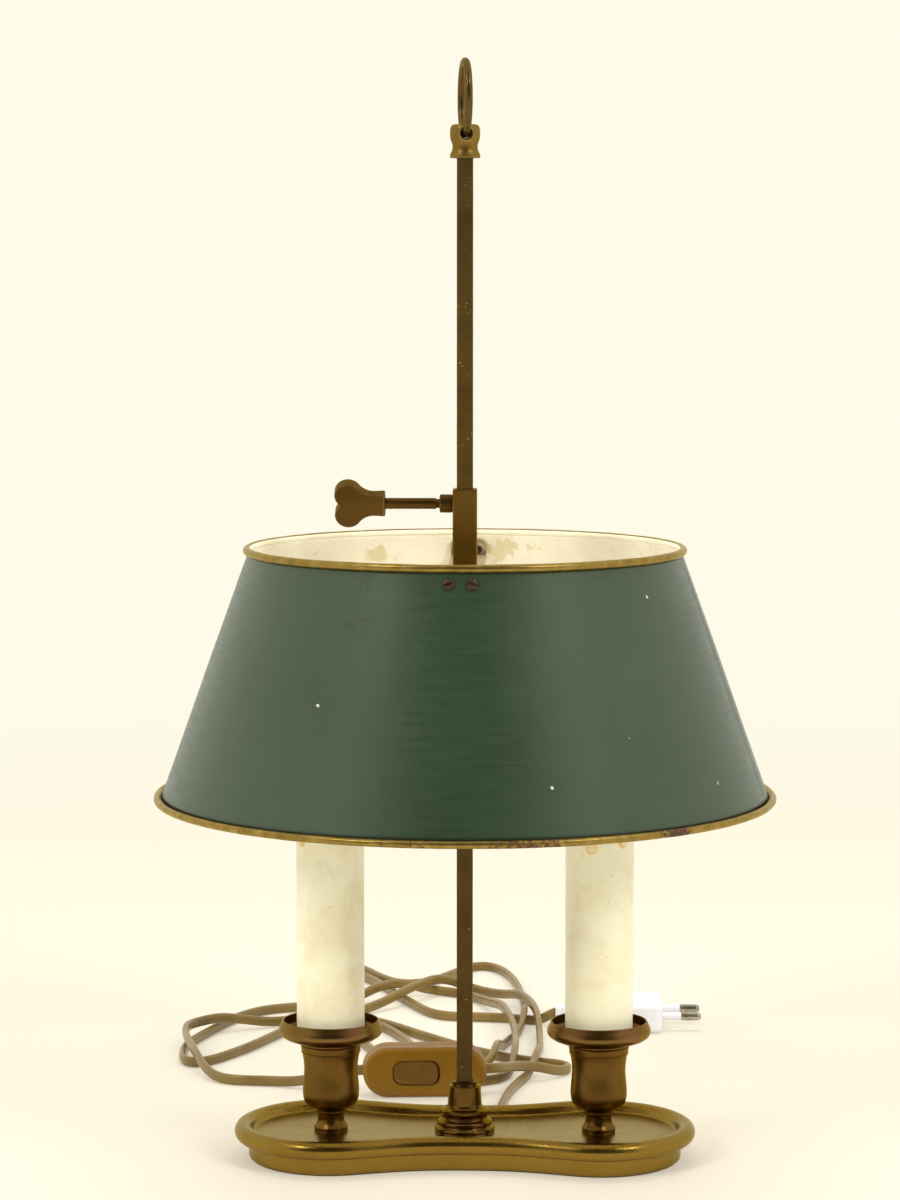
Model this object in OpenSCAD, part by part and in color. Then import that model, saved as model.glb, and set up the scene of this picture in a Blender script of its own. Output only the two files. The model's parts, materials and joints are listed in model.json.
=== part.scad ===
// Bouillotte lamp: two sham candles on a tray, a square column, a sliding painted shade.
// Millimetres. +Z is up, the origin is on the floor under the column.

/* [Base tray] */
// distance between the two candle axes
cup_spacing = 111; // [108:1:116]
// radius of each rounded end of the tray
lobe_radius = 40; // [38.5:0.5:42]
// depth of the tray at its waist
waist_depth = 62; // [58:1:66]
// height from the felt's underside to the top of the rim
tray_height = 13.6; // [13:0.1:14.6]
// radius of the rolled bead at the rim
rim_bead_r = 3.0; // [2.8:0.05:3.2]
// thickness of the felt under the foot band
felt_thick = 1.2; // [1:0.1:1.5]
// thickness of the tray's floor
plate_thick = 2.1; // [1.9:0.1:2.3]

/* [Column] */
// side of the square rod
rod_side = 6.6; // [6.3:0.1:6.8]
// height of the rod's top above the floor
rod_top_z = 411.7; // [404:1:420]
// radius of the boss's foot disc
boss_foot_r = 12.7; // [12:0.1:13.4]

/* [Finial] */
// radius of the knob
knob_r = 6.1; // [5.9:0.1:6.3]
// radius of the ring's centre line
ring_r = 14.5; // [14.2:0.1:15.2]
// radius of the ring's wire
ring_wire_r = 1.6; // [1.45:0.05:1.65]
// turn of the finial about the column, degrees
finial_yaw = 7; // [-15:1:15]

/* [Candle cups] */
// radius of a cup's belly
cup_belly_r = 12.0; // [11.6:0.1:12.8]
// height of a cup above the tray's floor
cup_height = 37; // [36:0.5:39]

/* [Drip pans] */
// widest radius of a drip pan
pan_r = 21.5; // [20.5:0.25:22.5]

/* [Candles] */
// radius of a candle sleeve
candle_r = 14; // [13.8:0.1:14.5]
// height of the candle tops above the floor
candle_top_z = 150; // [146:1:154]
// wall of a candle sleeve
candle_wall = 1.2; // [1:0.1:1.4]

/* [Bulbs] */
// widest radius of the glass
bulb_r = 17.5; // [16.5:0.5:18.5]
// length of a bulb, contact to tip
bulb_length = 98; // [95:1:102]

/* [Shade] */
// outside radius of the shade at its lower edge
shade_bottom_r = 124.6; // [120:0.5:130]
// outside radius of the shade at its upper edge
shade_top_r = 88.3; // [84:0.5:92]
// height of the lower edge above the floor
shade_bottom_z = 151.5; // [149:0.5:158]
// slant height of the shade measured straight up
shade_height = 101.4; // [98:1:106]
// thickness of the tinplate
shade_sheet = 0.8; // [0.7:0.05:1]
// radius of the beads at both edges
bead_r = 1.7; // [1.5:0.1:1.8]

/* [Carriage] */
// outside of the square sleeve
sleeve_side = 9.9; // [9.7:0.1:10.5]
// length of the square sleeve
sleeve_length = 34.4; // [32:0.5:38]
// width of the strip across the shade
strip_width = 15.5; // [14.5:0.5:18]
// thickness of the strip
strip_thick = 1.2; // [1.1:0.1:1.5]

/* [Thumbscrew] */
// radius of the shaft between collar and head
key_shaft_r = 2.25; // [2.1:0.05:2.5]
// radius of the threaded end
key_thread_r = 1.95; // [1.85:0.05:2.0]
// thickness of the heart
key_head_thick = 5.4; // [5:0.1:6]
// roll of the heart about its own axis, degrees
key_roll = 26; // [0:1:45]

/* [Flex] */
// tall side of the flat flex
flex_high = 4.6; // [4.5:0.02:4.68]
// narrow side of the flat flex
flex_wide = 3.2; // [3:0.05:3.3]

/* [Hand switch] */
// length of the switch
switch_length = 55; // [54.5:0.1:56]
// thickness of the switch, front to back
switch_thick = 16; // [15.6:0.1:16.4]
// how far the rocker tips, degrees
rocker_throw = 10; // [8:0.5:11]

/* [Plug] */
// length of the plug's body without its sleeve
plug_body_length = 36; // [34:0.5:37]
// radius of the pins
plug_pin_r = 2.0; // [1.9:0.05:2.0]

/* [Hidden] */
$fn = 72;
eps = 0.01;
// clearances
slide_gap = 0.10;
turn_gap = 0.05;
hole_gap = 0.05;

// tray outline
c = cup_spacing / 2;
w = waist_depth / 2;
concave_r = (c * c + w * w - lobe_radius * lobe_radius) / (2 * (lobe_radius - w));
yc = w + concave_r;
lobe_half = atan2(yc, -c);
waist_half = atan2(c, yc);
plate_top = tray_height - 3.1;
plate_bot = plate_top - plate_thick;
rim_z = tray_height - rim_bead_r;
foot_inset = 6;
foot_wall = 2.2;
cove_r = 5;
cove_inset = rim_bead_r + 5.72;

// column
stud_r = 3;
socket_depth = 8;
boss_h = 22.5;
boss_top = plate_top + boss_h;
rod_bottom = boss_top - socket_depth;
nut_h = 4.2;
washer_h = 1;

// finial
flange_h = 3.0;
neck_h = 2.9;
knob_h = 7.8;
knob_z = rod_top_z + flange_h + neck_h;
hole_z = knob_z + knob_h / 2;
throat_r = ring_wire_r + 0.15;
flare_r = ring_r - ring_wire_r;

// candles
stem_r = 4;
stem_bore_r = 2.7;
stem_bottom = felt_thick + 3.6;
cup_top = plate_top + cup_height;
pan_z = cup_top;
pan_floor = pan_z + 4;
candle_bore_r = candle_r - candle_wall;
holder_r = 11.5;
holder_bottom = candle_top_z - 46;
holder_top = candle_top_z - 7;
stem_top = holder_bottom + 10;
cap_r = 7.0;
cap_bore_r = cap_r + 0.1;
cap_bottom = holder_top - 19;
cap_top = holder_top + 1;
bulb_tip = cap_bottom + bulb_length;
lead_r = 1.2;
lead_z = felt_thick + 1.7;

// shade
shade_top_z = shade_bottom_z + shade_height;
cone_fall = (shade_bottom_r - shade_top_r) / shade_height;
cone_deg = atan(cone_fall);
sheet_h = shade_sheet / cos(cone_deg);
lower_bead_x = shade_bottom_r + bead_r;
function cone_r(z) = shade_bottom_r - (z - shade_bottom_z) * cone_fall;

// carriage
strip_top = shade_top_z - 9.5;
strip_bot = strip_top - strip_thick;
tab_top = strip_top + 6.6;
bore_side = rod_side + 2 * slide_gap;
screw_z = strip_top + 3.6;
screw_turn = asin(4.5 / cone_r(screw_z));
screw_r = 1.5;
nut_r = 2.55;
nut_high = 1.5;
sleeve_top = strip_top + sleeve_length;

// thumbscrew
key_z = sleeve_top - 6.1;
key_bore_r = key_thread_r + turn_gap;
collar_r = 3.75;
collar_end = sleeve_side / 2 + 5.35;
shoe_r = key_thread_r - 0.05;
shoe_in = rod_side / 2 + 0.05;
shoe_out = shoe_in + 1.0;
shoulder = collar_end + 1.4;
head_in = shoulder + 20.8;
heart_lobe_x = head_in + 15.2;
heart_lobe_z = 4.6;
heart_lobe_r = 5.5;
flank_x = head_in + 4.5;
flank_z = 12.2;
flank_r = norm([heart_lobe_x - flank_x, flank_z - heart_lobe_z]) - heart_lobe_r;
heart_tan_x = heart_lobe_x - heart_lobe_r * (heart_lobe_x - flank_x) / (flank_r + heart_lobe_r);
heart_tan_z = heart_lobe_z + heart_lobe_r * (flank_z - heart_lobe_z) / (flank_r + heart_lobe_r);

// hand switch, lying on its long edge behind the tray
switch_at = [-20, 112, 11.2];
switch_yaw = 4;
sw_r = 11.2;
sw_half = switch_thick / 2;
sw_c = switch_length / 2 - sw_r;
sw_edge = 2.6;
sw_wall = 1.9;
rocker_at = -4;
rocker_l = 20;
rocker_h = 10.5;
rocker_axis_y = -(sw_half - 3.4);
pivot_r = 1.2;
lug_h = 2.2;

// plug, lying flat
plug_at = [90, 257];
plug_half = 6.85;
plug_w = 35.3;
plug_relief = 15;
pin_len = 19;
pin_pitch = 18.6;

// wiring block under the tray floor
block_x = 9;
block_y = 9.8;
block_d = 9.6;
gland_x = 12;
gland_z = 4.6;
wall_y = yc - sqrt(pow(concave_r + foot_inset, 2) - gland_x * gland_x);

// ---------- tray ----------

// plan of the tray, drawn in by d all round
module outline(d) {
  for (s = [-1, 1])
    translate([s * c, 0])
      circle(lobe_radius - d);
  difference() {
    square([2 * (c - (lobe_radius - d) * c / (lobe_radius + concave_r)),
            2 * (lobe_radius - d) * yc / (lobe_radius + concave_r)], center = true);
    for (s = [-1, 1])
      translate([0, s * yc])
        circle(concave_r + d);
  }
}

// carries a section drawn as (inset, height) once round the tray
module round_the_tray() {
  for (s = [0, 1]) {
    rotate([0, 0, 180 * s])
      translate([c, 0, 0])
        rotate([0, 0, -lobe_half])
          rotate_extrude(angle = 2 * lobe_half)
            translate([lobe_radius, 0])
              mirror([1, 0])
                children();
    rotate([0, 0, 180 * s])
      translate([0, yc, 0])
        rotate([0, 0, -90 - waist_half])
          rotate_extrude(angle = 2 * waist_half)
            translate([concave_r, 0])
              children();
  }
}

module rim_section() {
  translate([rim_bead_r, rim_z])
    circle(rim_bead_r);
  difference() {
    translate([rim_bead_r, plate_bot + 0.2])
      square([5.72, tray_height - 0.25 - plate_bot - 0.2]);
    translate([cove_inset, plate_top + cove_r - 0.35])
      circle(cove_r);
  }
}

module felt_pad() {
  color([0.20, 0.28, 0.20])
    linear_extrude(felt_thick)
      outline(foot_inset + 0.6);
}

module base_tray() {
  color([0.50, 0.41, 0.18])
    difference() {
      union() {
        round_the_tray()
          rim_section();
        translate([0, 0, plate_bot])
          linear_extrude(plate_thick)
            outline(cove_inset - 1);
        translate([0, 0, felt_thick])
          linear_extrude(plate_bot - felt_thick + 1)
            difference() {
              outline(foot_inset);
              outline(foot_inset + foot_wall);
            }
      }
      for (s = [-1, 1])
        translate([s * c, 0, 0])
          cylinder(r = stem_r + hole_gap, h = 40);
      cylinder(r = stud_r + hole_gap, h = 40);
      translate([gland_x - 2.5, wall_y - 6, gland_z - 3])
        cube([5, 12, 6]);
    }
}

// ---------- column ----------

module column_boss() {
  z = plate_top;
  color([0.36, 0.26, 0.12])
    difference() {
      rotate_extrude()
        difference() {
          union() {
            translate([0, z])
              square([boss_foot_r, 1.3]);
            translate([0, z])
              square([boss_foot_r - 3.2, 8]);
            translate([boss_foot_r - 2.6, z + 3.2])
              circle(1.4);
            translate([0, z + 6])
              square([boss_foot_r - 2.4, 14]);
            translate([boss_foot_r - 4.1, z + 8.2])
              circle(1.9);
            translate([0, z + 8])
              square([5.6, boss_h - 8]);
          }
          translate([boss_foot_r - 2.1, z + 13.4])
            circle(4);
          translate([6.6, z + 13.4])
            square([20, 20]);
          translate([6.0, z + 20.8])
            square([20, 20]);
          translate([5.6, z + 21.2])
            square([20, 20]);
          translate([boss_foot_r - 2.0, z + 4.9])
            square([9, 2.2]);
        }
      translate([0, 0, rod_bottom + 20])
        cube([rod_side + 2 * hole_gap, rod_side + 2 * hole_gap, 40], center = true);
      cylinder(r = stud_r + hole_gap, h = 60);
    }
}

module rod() {
  color([0.30, 0.22, 0.11])
    union() {
      translate([-rod_side / 2, -rod_side / 2, rod_bottom])
        cube([rod_side, rod_side, rod_top_z - rod_bottom]);
      translate([0, 0, felt_thick + 1])
        cylinder(r = stud_r, h = rod_bottom - felt_thick);
      translate([0, 0, rod_top_z - 1])
        cylinder(r = 2.5, h = 5);
    }
}

module rod_washer() {
  color([0.45, 0.43, 0.40])
    translate([0, 0, plate_bot - washer_h])
      difference() {
        cylinder(r = 7, h = washer_h);
        translate([0, 0, -1])
          cylinder(r = stud_r + hole_gap, h = 4);
      }
}

module rod_nut() {
  color([0.45, 0.43, 0.40])
    translate([0, 0, plate_bot - washer_h - nut_h])
      difference() {
        cylinder(r = 5.7, h = nut_h, $fn = 6);
        translate([0, 0, -1])
          cylinder(r = stud_r + hole_gap, h = 8);
      }
}

module finial() {
  color([0.72, 0.55, 0.22])
    difference() {
      rotate_extrude()
        union() {
          translate([0, rod_top_z])
            square([knob_r + 0.05, flange_h - 1]);
          polygon([[0, rod_top_z], [knob_r + 0.05, rod_top_z + flange_h - 1],
                   [knob_r - 0.85, rod_top_z + flange_h], [knob_r - 0.85, knob_z + 1],
                   [0, knob_z + 1]]);
          translate([0, knob_z])
            square([knob_r - 1, knob_h]);
          translate([0, knob_z + 1])
            square([knob_r, knob_h - 2]);
          translate([knob_r - 1, knob_z + 1])
            circle(1);
          translate([knob_r - 1, knob_z + knob_h - 1])
            circle(1);
        }
      translate([0, 0, hole_z])
        rotate([0, 0, finial_yaw])
          rotate([90, 0, 0])
            rotate_extrude()
              difference() {
                translate([0, -9])
                  square([throat_r + flare_r, 18]);
                translate([throat_r + flare_r, 0])
                  circle(flare_r);
              }
      translate([0, 0, rod_top_z - 2])
        cylinder(r = 2.5 + hole_gap, h = 6.2);
    }
}

module finial_ring() {
  color([0.74, 0.57, 0.24])
    translate([0, 0, hole_z + ring_r])
      rotate([0, 0, finial_yaw])
        rotate([0, 90, 0])
          rotate_extrude()
            translate([ring_r, 0])
              circle(ring_wire_r);
}

// ---------- candles ----------

module cup(s) {
  z = plate_top;
  h = cup_height;
  b = cup_belly_r;
  color([0.36, 0.27, 0.14])
    translate([s * c, 0, z])
      difference() {
        rotate_extrude()
          union() {
            translate([0, 0])
              square([6.1, 2.6]);
            translate([5.85, 1.3])
              circle(1.3);
            polygon([[0, 2], [6.0, 2.4], [5.5, 4.4], [5.2, 6.4], [5.4, 7.8], [0, 8]]);
            polygon([[0, 7.6], [5.9, 7.8], [6.5, 8.8], [6.5, 10], [5.8, 10.8], [5.7, 12],
                     [0, 12]]);
            polygon([[0, 11.5], [5.7, 12], [8.4, 12.8], [10.4, 14.0], [b - 0.5, 15.8],
                     [b, 17.8], [b - 0.1, 20.4], [b - 0.5, 23.4], [b - 0.9, 27],
                     [b - 0.8, 30], [b - 0.2, 33], [b + 0.2, h - 2.6], [0, h - 2.6]]);
            translate([0, h - 2.8])
              square([b + 0.5, 2.8]);
          }
        translate([0, 0, -1])
          cylinder(r = stem_r + hole_gap, h = h + 4);
        translate([0, 0, 16])
          cylinder(r = b - 2.4, h = h);
      }
}

module drip_pan(s) {
  p = pan_r;
  color([0.42, 0.24, 0.15])
    translate([s * c, 0, pan_z])
      difference() {
        rotate_extrude()
          union() {
            polygon([[0, 2.8], [p - 5.5, 2.8], [p - 2.6, 3.2], [p - 0.9, 4.2], [p, 5.8],
                     [p, 7.4], [p - 0.6, 8.9], [p - 1.5, 10.4], [p - 2.3, 10.1],
                     [p - 1.7, 8.4], [p - 1.1, 7.0], [p - 1.2, 6.0], [p - 1.9, 5.0],
                     [p - 3.2, 4.3], [p - 5.7, 4], [candle_bore_r - 0.1, 4],
                     [candle_bore_r - 0.1, 6.5], [0, 6.5]]);
            square([cup_belly_r + 1, 3]);
          }
        translate([0, 0, -1])
          cylinder(r = cup_belly_r - 1.2, h = 3.8);
        translate([0, 0, -2])
          cylinder(r = stem_r + hole_gap, h = 12);
        translate([0, 0, 4])
          cylinder(r = candle_bore_r - 1.3, h = 6);
      }
}

module stem(s) {
  color([0.62, 0.50, 0.25])
    translate([s * c, 0, 0])
      difference() {
        translate([0, 0, stem_bottom])
          cylinder(r = stem_r, h = stem_top - stem_bottom);
        cylinder(r = stem_bore_r, h = stem_top + 5);
      }
}

module stem_nuts() {
  color([0.60, 0.50, 0.28])
    for (s = [-1, 1])
      for (z = [plate_bot - 3, pan_floor])
        translate([s * c, 0, z])
          difference() {
            cylinder(r = 7.4, h = 3, $fn = 6);
            translate([0, 0, -1])
              cylinder(r = stem_r + hole_gap, h = 6);
          }
}

module lampholder(s) {
  color([0.16, 0.15, 0.14])
    translate([s * c, 0, 0])
      difference() {
        union() {
          translate([0, 0, holder_bottom])
            cylinder(r = 7.5, h = 8);
          translate([0, 0, holder_bottom + 6])
            cylinder(r = holder_r, h = holder_top - holder_bottom - 6);
        }
        translate([0, 0, holder_bottom - 1])
          cylinder(r = stem_r + hole_gap, h = 11);
        translate([0, 0, cap_bottom])
          cylinder(r = cap_bore_r, h = 60);
      }
}

// runs of wax: turn about the candle, lower end below the top, radius
right_runs = [[-105, 22.5, 1.9], [-62, 20, 2.1], [-80, 11, 1.4], [28, 9, 1.5], [150, 14, 1.8]];
left_runs = [[-132, 20, 2.0], [-158, 10, 1.5], [-20, 8, 1.4], [70, 13, 1.8]];

module candle(s, runs) {
  color([0.93, 0.90, 0.76])
    translate([s * c, 0, 0])
      difference() {
        union() {
          translate([0, 0, pan_floor])
            cylinder(r = candle_r, h = candle_top_z - pan_floor);
          for (q = runs) {
            rotate([0, 0, q[0]])
              translate([candle_r - 0.5, 0, candle_top_z - q[1]])
                cylinder(r = q[2] * 0.72, h = q[1] - 1.2);
            rotate([0, 0, q[0]])
              translate([candle_r - 0.5, 0, candle_top_z - q[1]])
                sphere(q[2]);
            rotate([0, 0, q[0]])
              translate([candle_r - 0.5, 0, candle_top_z - 1.2])
                sphere(q[2] * 0.72);
          }
        }
        translate([0, 0, pan_floor - 1])
          cylinder(r = candle_bore_r, h = 140);
      }
}

module bulb_cap(s) {
  color([0.75, 0.72, 0.66])
    translate([s * c, 0, 0])
      union() {
        translate([0, 0, cap_bottom])
          cylinder(r = 2.4, h = 2);
        translate([0, 0, cap_bottom + 1])
          cylinder(r1 = 4, r2 = cap_r, h = 3);
        translate([0, 0, cap_bottom + 4])
          cylinder(r = cap_r, h = cap_top - cap_bottom - 4);
      }
}

module bulb_glass(s) {
  z = cap_top;
  h = bulb_tip - cap_top;
  b = bulb_r;
  color([0.93, 0.93, 0.88])
    translate([s * c, 0, z])
      rotate_extrude()
        polygon([[0, 0], [7.3, 0], [7.6, 4], [b * 0.55, 10], [b * 0.80, 15.5],
                 [b * 0.94, 20], [b, 26], [b * 0.985, 32], [b * 0.93, 38], [b * 0.84, 45],
                 [b * 0.70, 53], [b * 0.52, h - 18], [b * 0.36, h - 10], [b * 0.26, h - 4],
                 [b * 0.15, h - 1], [0, h]]);
}

// ---------- wiring ----------

module joint_block() {
  color([0.88, 0.87, 0.82])
    translate([-block_x, block_y, felt_thick + 0.4])
      cube([2 * block_x, block_d, plate_bot - felt_thick - 0.4]);
}

module straight(a, b, r) {
  d = b - a;
  translate(a)
    rotate([0, acos(d[2] / norm(d)), atan2(d[1], d[0])])
      cylinder(r = r, h = norm(d));
}

module lamp_leads() {
  color([0.80, 0.78, 0.70])
    for (s = [-1, 1]) {
      p0 = [s * block_x, block_y + 5, lead_z];
      p1 = [s * 34, block_y + 5, lead_z];
      p2 = [s * c, 0, lead_z];
      p3 = [s * c, 0, holder_bottom + 10];
      straight(p0, p1, lead_r - 0.2);
      straight(p1, p2, lead_r - 0.1);
      straight(p2, p3, lead_r);
    }
}

module cord_gland() {
  color([0.10, 0.10, 0.10])
    translate([gland_x, wall_y, gland_z])
      difference() {
        union() {
          translate([-2.5, -3.4, -3])
            cube([5, 4.4, 6]);
          translate([-3, 1.0, -3.3])
            cube([6, 1.4, 6.2]);
        }
        translate([-flex_wide / 2, -10, -flex_high / 2])
          cube([flex_wide, 20, flex_high]);
      }
}

// ---------- flat flex ----------

sw_dir = [cos(switch_yaw), sin(switch_yaw), 0];
flex_in_l = switch_at - (switch_length / 2 - 4) * sw_dir;
flex_out_l = switch_at - (switch_length / 2 + 1) * sw_dir;
flex_in_r = switch_at + (switch_length / 2 - 4) * sw_dir;
flex_out_r = switch_at + (switch_length / 2 + 1) * sw_dir;

// the way of the flex over the floor, millimetres, as it lies: tray to switch, switch to plug
flex_a = [
  [gland_x, block_y + block_d, gland_z], [gland_x, wall_y + 2.5, gland_z], [12, 38, 3.4],
  [13, 58, 2.4], [15, 85, 2.3], [18, 108, 2.3], [22, 126, 2.3], [25.5, 139, 2.3], [28, 151, 4.6],
  [30, 163, 7.2], [31, 174, 6.8], [31.5, 190, 3.4], [31.5, 210, 2.3], [31.3, 228, 2.8],
  [30.8, 243, 5.8], [29.6, 257, 7.3], [28, 271, 7.3], [25, 285, 7.3], [20.5, 297, 7.2],
  [14.5, 311, 4.2], [6, 324, 2.4], [-4, 331, 3.6], [-13, 331.5, 6.8], [-21, 326.5, 8.5],
  [-28, 316, 8.1], [-35, 304, 7.4], [-45, 292, 4.2], [-56, 279, 2.4], [-70, 267, 2.3],
  [-87, 257, 2.3], [-99, 250, 2.8], [-110, 244.5, 5], [-121, 238, 7.3], [-129, 230, 7.4],
  [-135, 220, 7.4], [-135.5, 208, 7.4], [-133, 191, 7.4], [-129, 173, 7.4], [-125, 157, 6.4],
  [-119.5, 142, 3.6], [-113, 132, 2.4], [-104, 127.5, 2.3], [-92, 126.5, 2.3], [-78, 122.5, 3],
  [-65, 116.5, 6.8], [-55, 111.5, 10.4], flex_out_l, flex_in_l];
flex_b = [
  flex_in_r, flex_out_r, [13, 117, 11], [17.5, 126, 9.4], [22.5, 134.5, 7.8], [31, 140, 6.2],
  [39.5, 145.5, 3.2], [44.5, 154, 2.3], [41.5, 161.5, 2.3], [31, 166.5, 2.3], [18, 174.5, 2.3],
  [4, 187, 2.3], [-8, 201, 2.3], [-23, 221, 2.3], [-35, 238, 2.3], [-46, 252, 2.3],
  [-59, 259.5, 2.3], [-74, 256, 2.3], [-84, 246, 2.3], [-90, 233, 2.3], [-96, 217, 2.3],
  [-104, 197, 2.3], [-113.5, 178, 2.3], [-121, 166.5, 2.3], [-127.5, 163, 2.3],
  [-132.5, 168.5, 2.3], [-134.5, 182, 2.3], [-134, 198, 2.3], [-130, 216, 2.3], [-124, 236, 2.3],
  [-118, 255, 2.3], [-110, 271, 2.3], [-101, 281, 2.3], [-88, 287, 2.3], [-73, 294, 2.3],
  [-61, 303.5, 3], [-51, 313.5, 6.2], [-42, 321, 7.3], [-34, 325.5, 6], [-26, 327.5, 3.4],
  [-17, 326, 2.5], [-7, 320.5, 2.3], [2, 306, 2.6], [8.5, 288, 4.6], [12.5, 272, 6.9],
  [15, 258, 7.3], [17.5, 240, 7.3], [19, 222, 7.3], [19.8, 205, 7.3], [20.2, 190, 7.3],
  [20, 175, 7.3], [19.2, 162, 5.4], [18.3, 150, 2.9], [15.8, 139, 2.3], [10, 131, 2.3],
  [-2, 127, 2.3], [-16, 129.5, 2.3], [-27, 140, 2.3], [-36, 158, 2.3], [-43, 178, 2.3],
  [-49, 198, 2.3], [-55, 216, 2.3], [-58.5, 231, 2.3], [-57.5, 242.5, 2.3], [-51.5, 247, 2.3],
  [-44.5, 242.5, 2.3], [-38, 229, 2.3], [-30, 206, 2.3], [-27.5, 190, 2.3], [-25.5, 174, 2.3],
  [-21, 160, 2.3], [-13.5, 151, 2.3], [-5, 148, 2.3], [3, 151.5, 2.3], [8.5, 160.5, 4.6],
  [10.5, 170.5, 6.9], [11.5, 180, 7.3], [12.5, 190, 5.2], [14, 200, 2.6], [16.5, 211, 2.3],
  [20, 224, 2.3], [22.5, 240, 3], [23.6, 252, 6], [24, 261, 7.3], [24, 269, 5.8], [24, 277.5, 2.7],
  [23.8, 290, 2.3], [23, 310, 2.3], [21, 335, 2.3], [17, 363, 2.3], [10.5, 384, 2.3],
  [3, 392, 2.3], [-5, 387.5, 2.3], [-12.5, 372, 2.3], [-21.5, 354.5, 2.3], [-31, 345.5, 2.3],
  [-41, 347, 2.3], [-50, 361, 2.3], [-57.5, 378, 2.3], [-64, 387, 2.3], [-71, 387, 2.3],
  [-72.5, 380, 2.3], [-67, 373, 2.3], [-58.5, 363, 2.3], [-48.5, 341, 2.3], [-42.5, 325, 2.3],
  [-37.5, 311, 2.3], [-31, 295, 2.3], [-23, 276.5, 2.3], [-14.5, 268, 2.3], [-4, 266, 2.3],
  [6, 265, 2.3], [15, 263, 2.3], [24.5, 260, 2.3], [31.5, 257.5, 2.7],
  [plug_at[0] - plug_body_length - plug_relief, plug_at[1], plug_half],
  [plug_at[0] - plug_body_length - plug_relief + 8, plug_at[1], plug_half]];

function at(p, i) = p[max(0, min(len(p) - 1, i))];
function unit(v) = v / norm(v);
function ahead(p, i) = unit(at(p, i + 1) - at(p, i - 1));
oval = [for (a = [22.5 : 45 : 359]) [cos(a), sin(a)]];
function ring_at(p, i) =
  let (t = ahead(p, i), side = unit(cross(t, [0, 0, 1])), up = cross(side, t))
    [for (q = oval)
      p[i] + side * (q[0] * flex_wide / 2 / cos(22.5)) + up * (q[1] * flex_high / 2 / cos(22.5))];

module flex(p) {
  n = len(p);
  polyhedron(
    points = [for (i = [0 : n - 1]) each ring_at(p, i)],
    faces = concat(
      [[7, 6, 5, 4, 3, 2, 1, 0]],
      [for (i = [0 : n - 2])
        for (k = [0 : 7])
          [i * 8 + k, i * 8 + (k + 1) % 8, (i + 1) * 8 + (k + 1) % 8, (i + 1) * 8 + k]],
      [[for (k = [0 : 7]) (n - 1) * 8 + k]]));
}

module cord_to_switch() {
  color([0.55, 0.43, 0.25])
    flex(flex_a);
}

module cord_to_plug() {
  color([0.55, 0.43, 0.25])
    flex(flex_b);
}

// ---------- hand switch ----------

module on_switch() {
  translate(switch_at)
    rotate([0, 0, switch_yaw])
      children();
}

// half of a stadium body, split plane at y = 0, drawn toward +y
module half_body(r, cx, t, e) {
  module edge() {
    square([r - e, t]);
    square([r, t - e]);
    translate([r - e, t - e])
      circle(e);
  }
  intersection() {
    union() {
      translate([cx, 0, 0])
        rotate([-90, 0, 0])
          rotate_extrude()
            intersection() {
              edge();
              square([50, 50]);
            }
      translate([-cx, 0, 0])
        rotate([-90, 0, 0])
          rotate_extrude()
            intersection() {
              edge();
              square([50, 50]);
            }
      for (m = [0, 1])
        mirror([0, 0, m])
          translate([-cx, 0, 0])
            rotate([90, 0, 90])
              linear_extrude(2 * cx)
                intersection() {
                  mirror([1, -1])
                    edge();
                  square([50, 50]);
                }
    }
    translate([-100, 0, -100])
      cube([200, 50, 200]);
  }
}

module flex_holes() {
  translate([-100, -flex_wide / 2, -flex_high / 2])
    cube([200, flex_wide, flex_high]);
}

module screw_places() {
  for (x = [-sw_c - 3.2, sw_c + 1.5])
    translate([x, 0, x < 0 ? 5.6 : -5.6])
      rotate([-90, 0, 0])
        children();
}

module switch_rear_shell() {
  color([0.52, 0.36, 0.10])
    on_switch()
      difference() {
        union() {
          difference() {
            half_body(sw_r, sw_c, sw_half, sw_edge);
            translate([0, -eps, 0])
              half_body(sw_r - sw_wall, sw_c, sw_half - sw_wall, 1);
          }
          screw_places()
            cylinder(r = 2.6, h = sw_half - 1);
        }
        flex_holes();
        screw_places()
          translate([0, 0, -1])
            cylinder(r = 1.25 + hole_gap, h = 20);
        screw_places()
          translate([0, 0, sw_half - 1.4])
            cylinder(r = 2.2 + hole_gap, h = 5);
      }
}

module switch_front_shell() {
  color([0.55, 0.38, 0.10])
    on_switch()
      difference() {
        union() {
          difference() {
            mirror([0, 1, 0])
              half_body(sw_r, sw_c, sw_half, sw_edge);
            translate([0, eps, 0])
              mirror([0, 1, 0])
                half_body(sw_r - sw_wall, sw_c, sw_half - sw_wall, 1);
            translate([rocker_at, 0, 0])
              rocker_prism(0.5, 0.3, 20);
          }
          screw_places()
            translate([0, 0, -(sw_half - 1)])
              cylinder(r = 2.6, h = sw_half - 1);
          for (s = [-1, 1])
            translate([rocker_at - 2.6, -(sw_half - 1), s * (rocker_h / 2 + 0.4 + lug_h / 2) - lug_h / 2])
              cube([5.2, sw_half - 3.6, lug_h]);
        }
        flex_holes();
        screw_places()
          translate([0, 0, -(sw_half - 2)])
            cylinder(r = 1.25 + hole_gap, h = 20);
        translate([rocker_at, rocker_axis_y, -(rocker_h / 2 + 0.4 + lug_h + 0.4)])
          cylinder(r = pivot_r + turn_gap, h = rocker_h + 0.8 + 2 * lug_h + 0.8);
      }
}

// rounded oblong through the front face, grown by gx along its length and gz across it
module rocker_prism(gx, gz, depth) {
  translate([0, -depth / 2, 0])
    rotate([90, 0, 0])
      linear_extrude(depth, center = true)
        union() {
          square([rocker_l - rocker_h + 2 * (gx - gz), rocker_h + 2 * gz], center = true);
          for (s = [-1, 1])
            translate([s * ((rocker_l - rocker_h) / 2 + gx - gz), 0])
              circle(rocker_h / 2 + gz);
        }
}

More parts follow.
